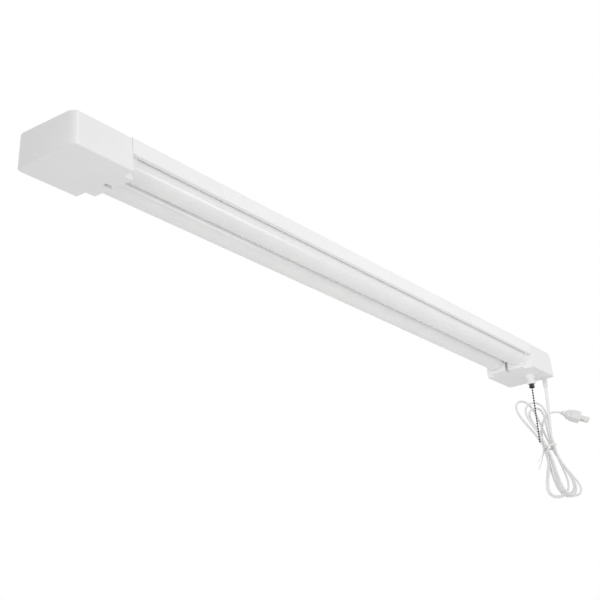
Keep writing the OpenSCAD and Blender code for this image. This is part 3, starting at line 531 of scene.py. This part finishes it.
def bump_between(x, low, middle, high):
    """A smooth hump: 0 at low and high, 1 at the middle."""
    if x <= low or x >= high:
        return 0.0
    share = (x - low) / (middle - low) if x < middle else (high - x) / (high - middle)
    return share * share * (3 - 2 * share)


EDGE_ON, FACE_ON = 6, 90
TWISTS = ((70, 1.12, 1.36, 1.5), (30, 2.0, 2.25, 2.5), (20, TURNS, TURNS + 0.4, TURNS + 0.8))


def cord_turn(i):
    """Degrees by which the broad side turns towards the camera at ring i."""
    if i < len(drop_line):
        return (FACE_ON - EDGE_ON) * (1 - i / len(drop_line)) ** 1.3 + EDGE_ON
    t = (i - len(drop_line)) / TURN_STEPS
    return EDGE_ON + sum(size * bump_between(t, *span) for size, *span in TWISTS)


# %% Sweep the cord
SHEET_MM = 6


def swept(name, points, turns, outline, material, first_side):
    """Carries an outline along points; first_side is the outline's x before it is turned.

    Its UV map, along, has V in steps of SHEET_MM millimetres."""
    made, lengths, run = [], [], 0.0
    for i, p in enumerate(points):
        ahead = (points[min(i + 1, len(points) - 1)] - points[max(i - 1, 0)]).normalized()
        side = (first_side - first_side.dot(ahead) * ahead).normalized()
        other = ahead.cross(side)
        angle = math.radians(turns(i))
        wide = math.cos(angle) * side + math.sin(angle) * other
        thin = ahead.cross(wide)
        if i:
            run += (p - points[i - 1]).length
        lengths.append(run)
        made += [hung(*(p + x * wide + y * thin)) for x, y in outline]
    piece = new_piece(name, made, ring_faces(len(points), len(outline)), material, 60)
    sheet = piece.data.uv_layers.new(name="along")
    for loop in piece.data.loops:
        ring, k = divmod(loop.vertex_index, len(outline))
        sheet.data[loop.index].uv = (k / len(outline) * 2, lengths[ring] / SHEET_MM)
    return piece


supply_cord = swept("supply_cord", route, cord_turn, section, cord_vinyl, Vector((0, 1, 0)))
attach(supply_cord, "fixture")
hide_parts("cord_drop", "cord_hank", "cord_plug_lead")
print("cord triangles:", 2 * len(supply_cord.data.polygons))

# %% [markdown]
# ## The plug
#
# The plug is moulded onto the cord: a neck that widens to a shoulder, a grip
# groove, and a block with a flat face that holds the two blades. It is one loft
# of rounded rectangles, and its broad sides sink into a shallow panel, which
# the mould leaves so that fingers can pull. The panel is made by moving points
# of the loft inwards.

# %% Loft of the plug's body
plug_way = Vector((math.cos(PLUG_DIP), 0, -math.sin(PLUG_DIP)))
plug_rise = Vector((math.sin(PLUG_DIP), 0, math.cos(PLUG_DIP)))
CORNER_STEPS = 4


def on_plug(along, deep, rise):
    """A point given along the plug, away from the camera and up across it."""
    return hung(*(PLUG_AT + along * plug_way + Vector((0, deep, 0)) + rise * plug_rise))


def rounded_ring(half_deep, half_rise, r):
    """Corner points of a rounded rectangle, with straight sides split for the panel."""
    r = min(r, half_rise - 0.2, half_deep - 0.2)
    ring = []
    for cx, cy, a0 in ((1, 1, 0), (-1, 1, 90), (-1, -1, 180), (1, -1, 270)):
        for j in range(CORNER_STEPS + 1):
            a = math.radians(a0 + 90 * j / CORNER_STEPS)
            ring.append((cx * (half_deep - r) + r * math.cos(a),
                         cy * (half_rise - r) + r * math.sin(a)))
        nx, ny = {0: (-1, 1), 90: (-1, -1), 180: (1, -1), 270: (1, 1)}[a0]
        start = ring[-1]
        end = ((nx * (half_deep - r) + r * math.cos(math.radians(a0 + 90)),
                ny * (half_rise - r) + r * math.sin(math.radians(a0 + 90))))
        for s in (0.12, 0.2, 0.5, 0.8, 0.88):
            ring.append((start[0] + (end[0] - start[0]) * s, start[1] + (end[1] - start[1]) * s))
    return ring


# Each section: place along the plug, half its depth, half its rise, corner radius
plug_sections = [(0, 4.0, 2.6, 2.0), (0.5, 4.2, 2.9, 2.4), (4, 4.5, 3.4, 2.6), (8, 6.3, 5.0, 3.4),
                 (11, 8.6, 7.4, 4), (12.5, 9.6, 8.1, 4), (13.6, 9.9, 8.2, 4),
                 (14.6, 9.6, 7.5, 3.6), (15.6, 9.6, 7.2, 3.4), (16.6, 10.4, 7.6, 3.2),
                 (17.6, 12.0, 8.3, 3), (18.6, 12.6, 8.5, 3), (20.5, 12.8, 8.5, 3),
                 (21.3, 12.8, 8.5, 3), (26, 12.9, 8.5, 3), (30.7, 12.95, 8.5, 3),
                 (31.5, 13, 8.5, 3), (33.9, 13, 8.5, 3), (34.7, 12.8, 8.3, 2.8),
                 (35, 12.4, 7.9, 2.6)]
PANEL_FROM, PANEL_TO, PANEL_SINK, PANEL_SHARE = 21, 31, 0.55, 0.7
plug_points = []
for along, half_deep, half_rise, r in plug_sections:
    for deep, rise in rounded_ring(half_deep, half_rise, r):
        in_panel = PANEL_FROM < along < PANEL_TO and abs(rise) < PANEL_SHARE * half_rise
        sunk = PANEL_SINK if in_panel else 0.0
        plug_points.append(on_plug(along, deep - math.copysign(sunk, deep), rise))
plug_sides = len(plug_points) // len(plug_sections)
plug_shell = new_piece("plug_shell", plug_points, ring_faces(len(plug_sections), plug_sides),
                       plug_vinyl_painted_shade, 50)
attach(plug_shell, "fixture")
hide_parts("plug_body")
print("plug:", len(plug_points), "points")

# %% [markdown]
# ## The twist tie
#
# The hank is held by a twist tie, a soft wire between two strips of white film.
# It goes round the waist twice, is twisted on itself and leaves two free tails.
# The strip is thin and flat with the wire as a low ridge along its middle, so
# it is swept with that section rather than drawn as a round wire.

# %% Sweep a strip of tie along points given in the hank's directions
def tie_strip(name, points, faces_out, width):
    """A thin ridged strip. faces_out gives its outward side at a point's number."""
    outline = [(-width / 2, -0.12), (width / 2, -0.12), (width / 2, 0.12), (0.5, 0.16),
               (0.3, 0.42), (-0.3, 0.42), (-0.5, 0.16), (-width / 2, 0.12)]
    made = []
    for i, p in enumerate(points):
        ahead = (points[min(i + 1, len(points) - 1)] - points[max(i - 1, 0)]).normalized()
        out = faces_out(i)
        out = (out - out.dot(ahead) * ahead).normalized()
        wide = ahead.cross(out)
        made += [hung(*(p + x * wide + y * out)) for x, y in outline]
    return new_piece(name, made, ring_faces(len(points), len(outline)), plastic_film, 30)


tie_lean = math.radians(14)
tie_up = Vector((-math.sin(tie_lean), 0, math.cos(tie_lean)))
tie_across = Vector((math.cos(tie_lean), 0, math.sin(tie_lean)))
tie_middle = Vector(MIDDLE)
half_across, half_deep = WAIST + 3.2, TURNS * LOOP_STEP / 2 + 3.2


def round_waist(share, out):
    """A point on the rounded outline round the bundle, and its outward side."""
    r = 5
    corners = [(1, -1, -90), (1, 1, 0), (-1, 1, 90), (-1, -1, 180)]
    q = (share % 1) * 4
    cx, cy, a0 = corners[int(q) % 4]
    a = math.radians(a0 + 90 * (q - int(q)))
    side = math.cos(a) * tie_across + math.sin(a) * Vector((0, 1, 0))
    point = (tie_middle + cx * (half_across - r) * tie_across
             + Vector((0, cy * (half_deep - r), 0)) + (r + out) * side)
    return point, side


BAND_STEPS, BAND_RISE = 96, 1.1
winding = [round_waist(-0.30 + 2 * i / BAND_STEPS, 0.25 + 0.3 * (i / BAND_STEPS))
           for i in range(BAND_STEPS + 1)]
tie_points = [p + tie_up * (BAND_RISE - 2 * BAND_RISE * i / BAND_STEPS)
              for i, (p, _) in enumerate(winding)]
tie_band = tie_strip("tie_band", tie_points, lambda i: winding[i][1], 2.6)
print("tie band:", len(tie_points), "rings")

# %% The tie's twisted tails
TAIL_STEPS, TAIL_OFF, TWISTED, TAIL_TWIST = 32, 0.8, 0.3, 540
TAILS = ((23, 42, 0), (31, 31, 180))


def tail_side(i, phase):
    """The outward side of a tail's strip at its ring i, which turns near the root."""
    a = math.radians(phase + 16 * min(i, 10))
    return Vector((math.cos(a), -math.sin(a) - 0.2, 0.1))


tail_root = tie_middle - (half_across + 0.6) * tie_across + Vector((0, -8, 0))
tail_parts = [tie_band]
for number, (angle, length, phase) in enumerate(TAILS):
    points, a = [], math.radians(angle)
    for j in range(TAIL_STEPS + 1):
        share = j / TAIL_STEPS
        twist = math.radians(phase + TAIL_TWIST * min(share / TWISTED, 1))
        away = TAIL_OFF * (1 - min(share / TWISTED, 1))
        along = Vector((-math.sin(a) * share, 0, -math.cos(a) * share)) * length
        sway = Vector((1.6 * math.sin(3 * share + number), -1.5 * share, 0)) * share
        points.append(tail_root + along + sway
                      + away * Vector((math.cos(twist), math.sin(twist), 0)))
    tail_parts.append(tie_strip("tie_tail_" + str(number), points,
                                lambda i, start=phase: tail_side(i, start), 2.4))
for part in tail_parts:
    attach(part, "fixture")
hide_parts("twist_tie")
print("tie tails:", len(tail_parts) - 1)

# %% [markdown]
# ## The pull chain
#
# A ball chain is hollow steel beads on short wire links. Beads repeat at one
# pitch, so Geometry Nodes place them: a line of points, a bead on each, and one
# thin wire through the run. The chain bends at two beads, so it is made once
# for each moving body, with the same tree and other inputs. Its first beads are
# inside the bell and come out when the slider is pulled, so they ride on it.

# %% Tree for a run of beads
def bead_tree():
    tree = bpy.data.node_groups.new("bead_run", "GeometryNodeTree")
    for name, kind in (("Beads", "NodeSocketInt"), ("Pitch", "NodeSocketFloat"),
                       ("Bead Radius", "NodeSocketFloat"), ("Link Radius", "NodeSocketFloat"),
                       ("Top", "NodeSocketVector"), ("Link Top", "NodeSocketVector"),
                       ("Link Length", "NodeSocketFloat"), ("Finish", "NodeSocketMaterial")):
        tree.interface.new_socket(name, in_out="INPUT", socket_type=kind)
    tree.interface.new_socket("Geometry", in_out="OUTPUT", socket_type="NodeSocketGeometry")
    given = add_node(tree, "NodeGroupInput").outputs
    step = add_node(tree, "ShaderNodeCombineXYZ")
    minus = add_node(tree, "ShaderNodeMath", {"operation": "MULTIPLY"}, {1: -1.0},
                     {0: given["Pitch"]})
    tree.links.new(minus.outputs[0], step.inputs["Z"])
    line = add_node(tree, "GeometryNodeMeshLine", {"mode": "OFFSET"},
                    links={"Count": given["Beads"], "Start Location": given["Top"],
                           "Offset": step.outputs[0]})
    ball = add_node(tree, "GeometryNodeMeshUVSphere", values={"Segments": 20, "Rings": 12},
                    links={"Radius": given["Bead Radius"]})
    beads = add_node(tree, "GeometryNodeInstanceOnPoints",
                     links={"Points": line.outputs[0], "Instance": ball.outputs["Mesh"]})
    wire = add_node(tree, "GeometryNodeMeshCylinder", values={"Vertices": 12},
                    links={"Radius": given["Link Radius"], "Depth": given["Link Length"]})
    half = add_node(tree, "ShaderNodeMath", {"operation": "MULTIPLY"}, {1: -0.5},
                    {0: given["Link Length"]})
    drop = add_node(tree, "ShaderNodeCombineXYZ", links={"Z": half.outputs[0]})
    middle = add_node(tree, "ShaderNodeVectorMath", {"operation": "ADD"},
                      links={0: given["Link Top"], 1: drop.outputs[0]})
    placed_wire = add_node(tree, "GeometryNodeTransform",
                           links={"Geometry": wire.outputs["Mesh"],
                                  "Translation": middle.outputs[0]})
    both = add_node(tree, "GeometryNodeJoinGeometry")
    tree.links.new(beads.outputs[0], both.inputs[0])
    tree.links.new(placed_wire.outputs[0], both.inputs[0])
    real = add_node(tree, "GeometryNodeRealizeInstances", links={"Geometry": both.outputs[0]})
    soft = add_node(tree, "GeometryNodeSetShadeSmooth", links={"Geometry": real.outputs[0]})
    painted = add_node(tree, "GeometryNodeSetMaterial",
                       links={"Geometry": soft.outputs[0], "Material": given["Finish"]})
    add_node(tree, "NodeGroupOutput", links={"Geometry": painted.outputs[0]})
    return tree


def grown(name, tree, inputs, smooth_below=40, points=()):
    """Runs a Geometry Nodes tree once, on given points, and keeps a plain mesh."""
    start = bpy.data.meshes.new(name)
    start.from_pydata([tuple(p) for p in points], [], [])
    piece = bpy.data.objects.new(name, start)
    bpy.context.scene.collection.objects.link(piece)
    modifier = piece.modifiers.new("grow", "NODES")
    modifier.node_group = tree
    sockets = {s.name: s.identifier for s in tree.interface.items_tree
               if s.item_type == "SOCKET" and s.in_out == "INPUT"}
    for key, value in inputs.items():
        modifier[sockets[key]] = value
    bpy.context.view_layer.update()
    shape = piece.evaluated_get(bpy.context.evaluated_depsgraph_get())
    mesh = bpy.data.meshes.new_from_object(shape)
    piece.modifiers.remove(modifier)
    mesh.name = name
    mesh.set_sharp_from_angle(angle=math.radians(smooth_below))
    piece.data = mesh
    return piece


beads_tree = bead_tree()
print("bead tree:", len(beads_tree.nodes), "nodes")

# %% The chain's four pieces
PULL_X, PULL_Y = 567 * MM, -17.2 * MM
SWIVEL_Z, PITCH_B, BEAD_R, LINK_R = -68.7 * MM, 4.8 * MM, 1.7 * MM, 0.5 * MM
RUN_BEADS, SLIDER_BEADS = 10, 4
MIDDLE_Z = SWIVEL_Z - (RUN_BEADS + 1) * PITCH_B
BEAD_CLEAR = BEAD_R + 0.15 * MM
for name, body, node_name, top_z, count, link_z, link_l in (
        ("swivel_bead", "swivel", "chain_swivel_bead", SWIVEL_Z, 1, SWIVEL_Z, 0.5 * MM),
        ("upper_beads", "upper_chain", "chain_upper", SWIVEL_Z - PITCH_B, RUN_BEADS,
         SWIVEL_Z - BEAD_CLEAR, (RUN_BEADS + 1) * PITCH_B - 2 * BEAD_CLEAR),
        ("middle_bead", "chain_bend", "chain_middle_bead", MIDDLE_Z, 1, MIDDLE_Z, 0.5 * MM),
        ("lower_beads", "lower_chain", "chain_lower", MIDDLE_Z - PITCH_B, RUN_BEADS,
         MIDDLE_Z - BEAD_CLEAR, RUN_BEADS * PITCH_B - BEAD_CLEAR)):
    beads = grown(name, beads_tree, {
        "Beads": count, "Pitch": PITCH_B, "Bead Radius": BEAD_R, "Link Radius": LINK_R,
        "Top": (PULL_X, PULL_Y, top_z), "Link Top": (PULL_X, PULL_Y, link_z),
        "Link Length": link_l, "Finish": black_oxide})
    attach(beads, body)
    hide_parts(node_name)
    print(name, "rides on", body, "with", len(beads.data.polygons), "faces")

# %% The switch's slider, with the beads that come out when it is pulled
SLIDER_SIDES = 40
# The core's outline, as radius and height in millimetres
slider_outline = [(0.5, -49.4), (0.5, -41.5), (1.7, -41.5), (2, -41.2), (2, -25.4), (6.1, -25.4),
                  (6.4, -25.1), (6.4, -22.7), (6.1, -22.4)]
slider_points = [(PULL_X + r * MM * math.cos(2 * math.pi * k / SLIDER_SIDES),
                  PULL_Y + r * MM * math.sin(2 * math.pi * k / SLIDER_SIDES), z * MM)
                 for r, z in slider_outline for k in range(SLIDER_SIDES)]
slider_core = new_piece("slider_core", slider_points,
                        ring_faces(len(slider_outline), SLIDER_SIDES), bare_brass)
slider_beads = grown("slider_beads", beads_tree, {
    "Beads": SLIDER_BEADS, "Pitch": PITCH_B, "Bead Radius": BEAD_R, "Link Radius": LINK_R,
    "Top": (PULL_X, PULL_Y, SWIVEL_Z + SLIDER_BEADS * PITCH_B),
    "Link Top": (PULL_X, PULL_Y, SWIVEL_Z + SLIDER_BEADS * PITCH_B),
    "Link Length": SLIDER_BEADS * PITCH_B - BEAD_R - 0.3 * MM, "Finish": black_oxide})
for piece, slot_name in ((slider_core, "brass"), (slider_beads, "black_metal")):
    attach(piece, "slider")
    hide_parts("switch_slider")
print("slider:", len(slider_outline), "rings and", SLIDER_BEADS, "beads")

# %% [markdown]
# ## Cap screws
#
# Eight countersunk screws hold the caps to the channel, with their heads flush in
# the top. They are one shape, so a second tree makes it once: a cone for the
# head, with a cross recess cut out of it, and a shank under it. Each screw was
# driven home by hand, so each is turned by its own random angle.

# %% Tree for a set of screws
def screw_tree():
    tree = bpy.data.node_groups.new("screw_set", "GeometryNodeTree")
    for name, kind in (("Places", "NodeSocketGeometry"), ("Head Radius", "NodeSocketFloat"),
                       ("Head Height", "NodeSocketFloat"), ("Shank Radius", "NodeSocketFloat"),
                       ("Recess", "NodeSocketVector"), ("Shank Middle", "NodeSocketVector"),
                       ("Shank Length", "NodeSocketFloat"), ("Finish", "NodeSocketMaterial")):
        tree.interface.new_socket(name, in_out="INPUT", socket_type=kind)
    tree.interface.new_socket("Geometry", in_out="OUTPUT", socket_type="NodeSocketGeometry")
    given = add_node(tree, "NodeGroupInput").outputs
    head = add_node(tree, "GeometryNodeMeshCone", values={"Vertices": 32},
                    links={"Radius Top": given["Head Radius"],
                           "Radius Bottom": given["Shank Radius"],
                           "Depth": given["Head Height"]})
    minus = add_node(tree, "ShaderNodeMath", {"operation": "MULTIPLY"}, {1: -1.0},
                     {0: given["Head Height"]})
    down = add_node(tree, "ShaderNodeCombineXYZ", links={"Z": minus.outputs[0]})
    flush = add_node(tree, "GeometryNodeTransform",
                     links={"Geometry": head.outputs["Mesh"], "Translation": down.outputs[0]})
    bar = add_node(tree, "GeometryNodeMeshCube", links={"Size": given["Recess"]})
    crossed = add_node(tree, "GeometryNodeTransform",
                       values={"Rotation": (0, 0, math.radians(90))},
                       links={"Geometry": bar.outputs["Mesh"]})
    cut = add_node(tree, "GeometryNodeMeshBoolean", {"operation": "DIFFERENCE"})
    tree.links.new(flush.outputs[0], cut.inputs["Mesh 1"])
    tree.links.new(bar.outputs["Mesh"], cut.inputs["Mesh 2"])
    tree.links.new(crossed.outputs[0], cut.inputs["Mesh 2"])
    shank = add_node(tree, "GeometryNodeMeshCylinder", values={"Vertices": 20},
                     links={"Radius": given["Shank Radius"], "Depth": given["Shank Length"]})
    below = add_node(tree, "GeometryNodeTransform",
                     links={"Geometry": shank.outputs["Mesh"],
                            "Translation": given["Shank Middle"]})
    screw = add_node(tree, "GeometryNodeJoinGeometry")
    tree.links.new(cut.outputs["Mesh"], screw.inputs[0])
    tree.links.new(below.outputs[0], screw.inputs[0])
    turned_by = add_node(tree, "FunctionNodeRandomValue", {"data_type": "FLOAT_VECTOR"})
    turned_by.inputs["Min"].default_value = (0, 0, 0)
    turned_by.inputs["Max"].default_value = (0, 0, math.radians(90))
    set_in = add_node(tree, "GeometryNodeInstanceOnPoints",
                      links={"Points": given["Places"], "Instance": screw.outputs[0],
                             "Rotation": turned_by.outputs["Value"]})
    real = add_node(tree, "GeometryNodeRealizeInstances", links={"Geometry": set_in.outputs[0]})
    painted = add_node(tree, "GeometryNodeSetMaterial",
                       links={"Geometry": real.outputs[0], "Material": given["Finish"]})
    add_node(tree, "NodeGroupOutput", links={"Geometry": painted.outputs[0]})
    return tree


screws_tree = screw_tree()
print("screw tree:", len(screws_tree.nodes), "nodes")

# %% Eight screws in the top of the caps
SCREW_X, SCREW_Y = (-594.5, -553.5, 553.5, 585.5), (-34, 34)
screw_places = [(x * MM, y * MM, 0) for x in SCREW_X for y in SCREW_Y]
flush_screws = grown("flush_screws", screws_tree, {
    "Head Radius": 2.9 * MM, "Head Height": 1.65 * MM, "Shank Radius": 1.3 * MM,
    "Recess": (2.8 * MM, 0.7 * MM, 1.9 * MM), "Shank Middle": (0, 0, -6.8 * MM),
    "Shank Length": 10.4 * MM, "Finish": zinc_plate}, 30, screw_places)
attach(flush_screws, "fixture")
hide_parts("cap_screws")
print("screws:", len(screw_places), "with", len(flush_screws.data.polygons), "faces")

# %% [markdown]
# ## Caps, channel and other rigid pieces
#
# The solids already have the right shape, but their edges are mathematically
# sharp, and a real moulding or folded sheet never is: each edge has a small
# radius that catches a line of light. A CAD mesh is loose triangles, so a copy
# is merged, its flat faces are joined, and a Bevel modifier rounds every edge
# that turns sharply, by the radius that its weight gives. The long free edges of
# the tube sleeves' feet get a bigger radius than the rest. After that, normals
# weighted by area keep the large faces flat up to the rounding. Where the
# photograph shows less of a gap than a strict drawing has, the copy's points are
# also moved: the channel's lips reach a little closer to the tubes. The result
# stands for the solid and stays in its place.

# %% Copy a solid and ease its edges
SHARP_TURN = math.radians(32)


def eased_copy(node_name, new_name, radius_mm, material, segments=2, rounder=None,
               rounder_mm=0, moved=None):
    """A merged copy of a solid with rounded edges, riding where the solid rides.

    Edges whose two ends both pass the test named rounder get rounder_mm instead,
    and moved may first shift a point, given in millimetres."""
    solid = frame["nodes"][node_name]
    mesh = solid.data.copy()
    work = bmesh.new()
    work.from_mesh(mesh)
    bmesh.ops.remove_doubles(work, verts=work.verts, dist=0.002 * MM)
    bmesh.ops.dissolve_limit(work, angle_limit=math.radians(0.6), verts=work.verts,
                             edges=work.edges)
    if moved:
        for v in work.verts:
            v.co = moved(v.co / MM) * MM
    widest = max(radius_mm, rounder_mm)
    weight = work.edges.layers.float.new("bevel_weight_edge")
    for edge in work.edges:
        if edge.is_manifold and edge.calc_face_angle() > SHARP_TURN:
            special = rounder and all(rounder(v.co / MM) for v in edge.verts)
            edge[weight] = (rounder_mm if special else radius_mm) / widest
    work.to_mesh(mesh)
    work.free()
    mesh.shade_smooth()
    piece = bpy.data.objects.new(new_name, mesh)
    bpy.context.scene.collection.objects.link(piece)
    bevel = piece.modifiers.new("edges", "BEVEL")
    bevel.width = widest * MM
    bevel.segments = segments
    bevel.limit_method = "WEIGHT"
    bevel.miter_outer = "MITER_ARC"
    flat = piece.modifiers.new("flat faces", "WEIGHTED_NORMAL")
    flat.keep_sharp = True
    bpy.context.view_layer.update()
    shape = piece.evaluated_get(bpy.context.evaluated_depsgraph_get())
    done = bpy.data.meshes.new_from_object(shape)
    piece.modifiers.clear()
    piece.data = done
    done.materials.clear()
    done.materials.append(material)
    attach(piece, solid["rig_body"])
    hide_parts(node_name)
    print(new_name, "from", len(solid.data.polygons), "to", len(done.polygons), "faces")
    return piece


# %% Ease the caps, the channel and the tubes
FOOT_FROM, FOOT_END, FOOT_IN, FOOT_OUT = 500, 506.5, 2.5, 30.2
FOOT_TOP, FOOT_BOTTOM = -22, -44.9
LONG_EDGE_FROM, LONG_EDGE_TO = 504, 521
LIP_EDGE, LIP_EDGE_SEEN = 41.0, 39.0


def sleeve_foot_end(p):
    """Whether a point, in millimetres, is on the free end of a sleeve's foot."""
    beside = not FOOT_IN + 0.5 < abs(p.y) < FOOT_OUT - 0.2
    at_end = FOOT_FROM < abs(p.x) < FOOT_END and p.z < FOOT_TOP
    return at_end and (p.z < FOOT_BOTTOM or beside)


def blank_foot(p):
    """The same, with the long lower edges of both feet, which catch the light."""
    to_side = min(abs(abs(p.y) - FOOT_IN), abs(abs(p.y) - FOOT_OUT))
    along = LONG_EDGE_FROM < abs(p.x) < LONG_EDGE_TO
    return (along and p.z < FOOT_BOTTOM and to_side < 0.2) or sleeve_foot_end(p)


def deeper_lip(p):
    """Brings the channel's lips closer to the tubes, so that little of the gap is seen."""
    if p.z < -15 and LIP_EDGE - 0.5 < abs(p.y) < LIP_EDGE + 1.5:
        p.y = math.copysign(LIP_EDGE_SEEN, p.y)
    return p


for node_name, new_name, rounder in (
        ("blank_end_cap", "blank_cap_moulding", blank_foot),
        ("switch_end_cap", "switch_cap_moulding", sleeve_foot_end)):
    eased_copy(node_name, new_name, 0.7, satin_abs, 3, rounder=rounder, rounder_mm=3)
eased_copy("channel", "folded_channel", 0.18, enamelled_steel, moved=deeper_lip)
for node_name, new_name in (("front_tube", "front_diffuser"), ("rear_tube", "rear_diffuser")):
    eased_copy(node_name, new_name, 0.3, frosted_polycarbonate)

# %% Ease the small pieces by the switch and the cord
for node_name, new_name, radius_mm, finish in (
        ("switch_collar", "fluted_collar", 0.3, satin_abs),
        ("switch_bell", "bell_mouth", 0.12, black_oxide),
        ("switch_bushing", "threaded_bushing", 0.15, zinc_plate),
        ("strain_relief", "moulded_relief", 0.25, plug_vinyl_painted_shade)):
    eased_copy(node_name, new_name, radius_mm, finish)
narrow_blade = eased_copy("plug_blade_narrow", "narrow_blade", 0.25, nickel_plate)
wide_blade = eased_copy("plug_blade_wide", "wide_blade", 0.25, nickel_plate)

# %% [markdown]
# ## The return spring
#
# Inside the switch, a coil spring lifts the slider after each pull, so it has to
# shorten when the chain comes down. Here it is made at its rest length and rides
# with the fixture, so the slider would cut through it when pulled.

# %% A coil at its rest length
COIL_TURNS, COIL_STEPS, COIL_SIDES, COIL_R, COIL_WIRE_R = 5, 24, 10, 4.6, 0.5
COIL_SEAT, COIL_LOW, COIL_HIGH, COIL_KEEP = -40.5, -39.9, -26.0, 0.53
coil_points = []
coil_rings = COIL_TURNS * COIL_STEPS + 1
for i in range(coil_rings):
    a = math.radians(360 * i / COIL_STEPS)
    out = Vector((math.cos(a), math.sin(a), 0))
    rise = COIL_LOW + (COIL_HIGH - COIL_LOW) * i / (coil_rings - 1)
    centre = Vector((PULL_X, PULL_Y, rise * MM)) + COIL_R * MM * out
    for b in (math.radians(360 * k / COIL_SIDES) for k in range(COIL_SIDES)):
        coil_points.append(centre + COIL_WIRE_R * MM * (math.cos(b) * out - math.sin(b) * UP))
coil_spring = new_piece("coil_spring", coil_points, ring_faces(coil_rings, COIL_SIDES),
                        zinc_plate)
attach(coil_spring, "fixture")
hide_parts("return_spring")
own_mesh(coil_spring)
print("spring:", COIL_TURNS, "turns, kept to", COIL_KEEP, "of its length at full pull")

# %% [markdown]
# ## Studio
#
# The photograph was taken against white with soft light from all round, so the
# world is an even pale dome that turns plain white where the camera, a gloss or
# a clear material looks at it. Five soft lamps shape the light. One in front
# and above makes the channel's side a little brighter than its underside, and
# one overhead lights the top. A wide one below lifts the underside. A small one
# beyond the far end draws the soft line along the tubes, and another, by the
# near end, lights the far cap. Both are narrowed with their spread, so a
# fraction of a watt is enough. A floor far below keeps the shadow. It is matte
# from above and clear from below, so that a camera under it still sees the
# light.

# %% World
world = bpy.data.worlds.new("studio")
bpy.context.scene.world = world
world.use_nodes = True
tree = world.node_tree
tree.nodes.clear()
looked_at = add_node(tree, "ShaderNodeLightPath")
camera_or_gloss = add_node(tree, "ShaderNodeMath", {"operation": "MAXIMUM"}, None,
                           {0: looked_at.outputs["Is Camera Ray"],
                            1: looked_at.outputs["Is Glossy Ray"]})
any_sight = add_node(tree, "ShaderNodeMath", {"operation": "MAXIMUM"}, None,
                     {0: camera_or_gloss.outputs[0],
                      1: looked_at.outputs["Is Transmission Ray"]})
dome = add_node(tree, "ShaderNodeBackground", values={"Color": (1, 1, 1, 1), "Strength": 0.74})
seen = add_node(tree, "ShaderNodeBackground", values={"Color": (1, 1, 1, 1), "Strength": 1.0})
mixed = add_node(tree, "ShaderNodeMixShader", None, None,
                 {0: any_sight.outputs[0], 1: dome.outputs[0], 2: seen.outputs[0]})
add_node(tree, "ShaderNodeOutputWorld", links={"Surface": mixed.outputs[0]})
print("world ready")


# %% Lamps
def soft_lamp(name, place, target, size, watts, tall=None):
    """A soft lamp that faces a point: square, or as tall as it is told."""
    data = bpy.data.lights.new(name, "AREA")
    data.shape = "RECTANGLE" if tall else "SQUARE"
    data.size = size
    data.size_y = tall or size
    data.energy = watts
    lamp = bpy.data.objects.new(name, data)
    bpy.context.scene.collection.objects.link(lamp)
    place = Vector(place)
    aim = (Vector(target) - place).to_track_quat("-Z", "Y").to_matrix().to_4x4()
    lamp.matrix_world = Matrix.Translation(place) @ aim
    lamp.visible_camera = False
    return lamp


side_lamp = soft_lamp("side_lamp", (0.1, -2.3, 1.4), (0.0, 0, -0.03), 1.4, 15)
top_lamp = soft_lamp("top_lamp", (-0.3, 0.8, 2.6), (0, 0, 0), 1.6, 10)
strip_lamp = soft_lamp("strip_lamp", (1.35, -1.6, -0.88), (-0.5, 0, -0.03), 0.5, 0.14, 0.2)
strip_lamp.data.spread = math.radians(40)
fill_lamp = soft_lamp("fill_lamp", (-1.3, -0.35, -0.25), (0.56, -0.02, -0.035), 0.3, 0.12)
fill_lamp.data.spread = math.radians(20)
bounce_lamp = soft_lamp("bounce_lamp", (0.1, -0.25, -1.1), (0.1, 0, 0), 1.2, 1.8, 2.4)
print("lamps:", [round(lamp.data.energy, 2) for lamp in
                 (side_lamp, top_lamp, strip_lamp, fill_lamp, bounce_lamp)], "W")

# %% Floor
floor_matte, tree, place = new_material("pale_floor")
speck = add_node(tree, "ShaderNodeTexNoise", values={"Scale": 3.0, "Detail": 2.0},
                 links={"Vector": place})
pale = add_node(tree, "ShaderNodeValToRGB", links={"Fac": speck.outputs["Fac"]})
pale.color_ramp.elements[0].color = colour("#EEEEED")
pale.color_ramp.elements[1].color = colour("#F2F2F1")
matte = add_node(tree, "ShaderNodeBsdfPrincipled", values={"Roughness": 0.9},
                 links={"Base Color": pale.outputs["Color"]})
clear = add_node(tree, "ShaderNodeBsdfTransparent")
side = add_node(tree, "ShaderNodeNewGeometry")
one_sided = add_node(tree, "ShaderNodeMixShader", None, None,
                     {0: side.outputs["Backfacing"], 1: matte.outputs[0], 2: clear.outputs[0]})
add_node(tree, "ShaderNodeOutputMaterial", links={"Surface": one_sided.outputs[0]})
FLOOR_Z, FLOOR_HALF = -1.15, 40
floor = new_piece("floor", [(x * FLOOR_HALF, y * FLOOR_HALF, FLOOR_Z)
                            for x, y in ((-1, -1), (1, -1), (1, 1), (-1, 1))],
                  [(0, 1, 2, 3)], floor_matte)
print("floor at", FLOOR_Z, "m")

# %% Plain colour handling
bpy.context.scene.view_settings.view_transform = "Standard"
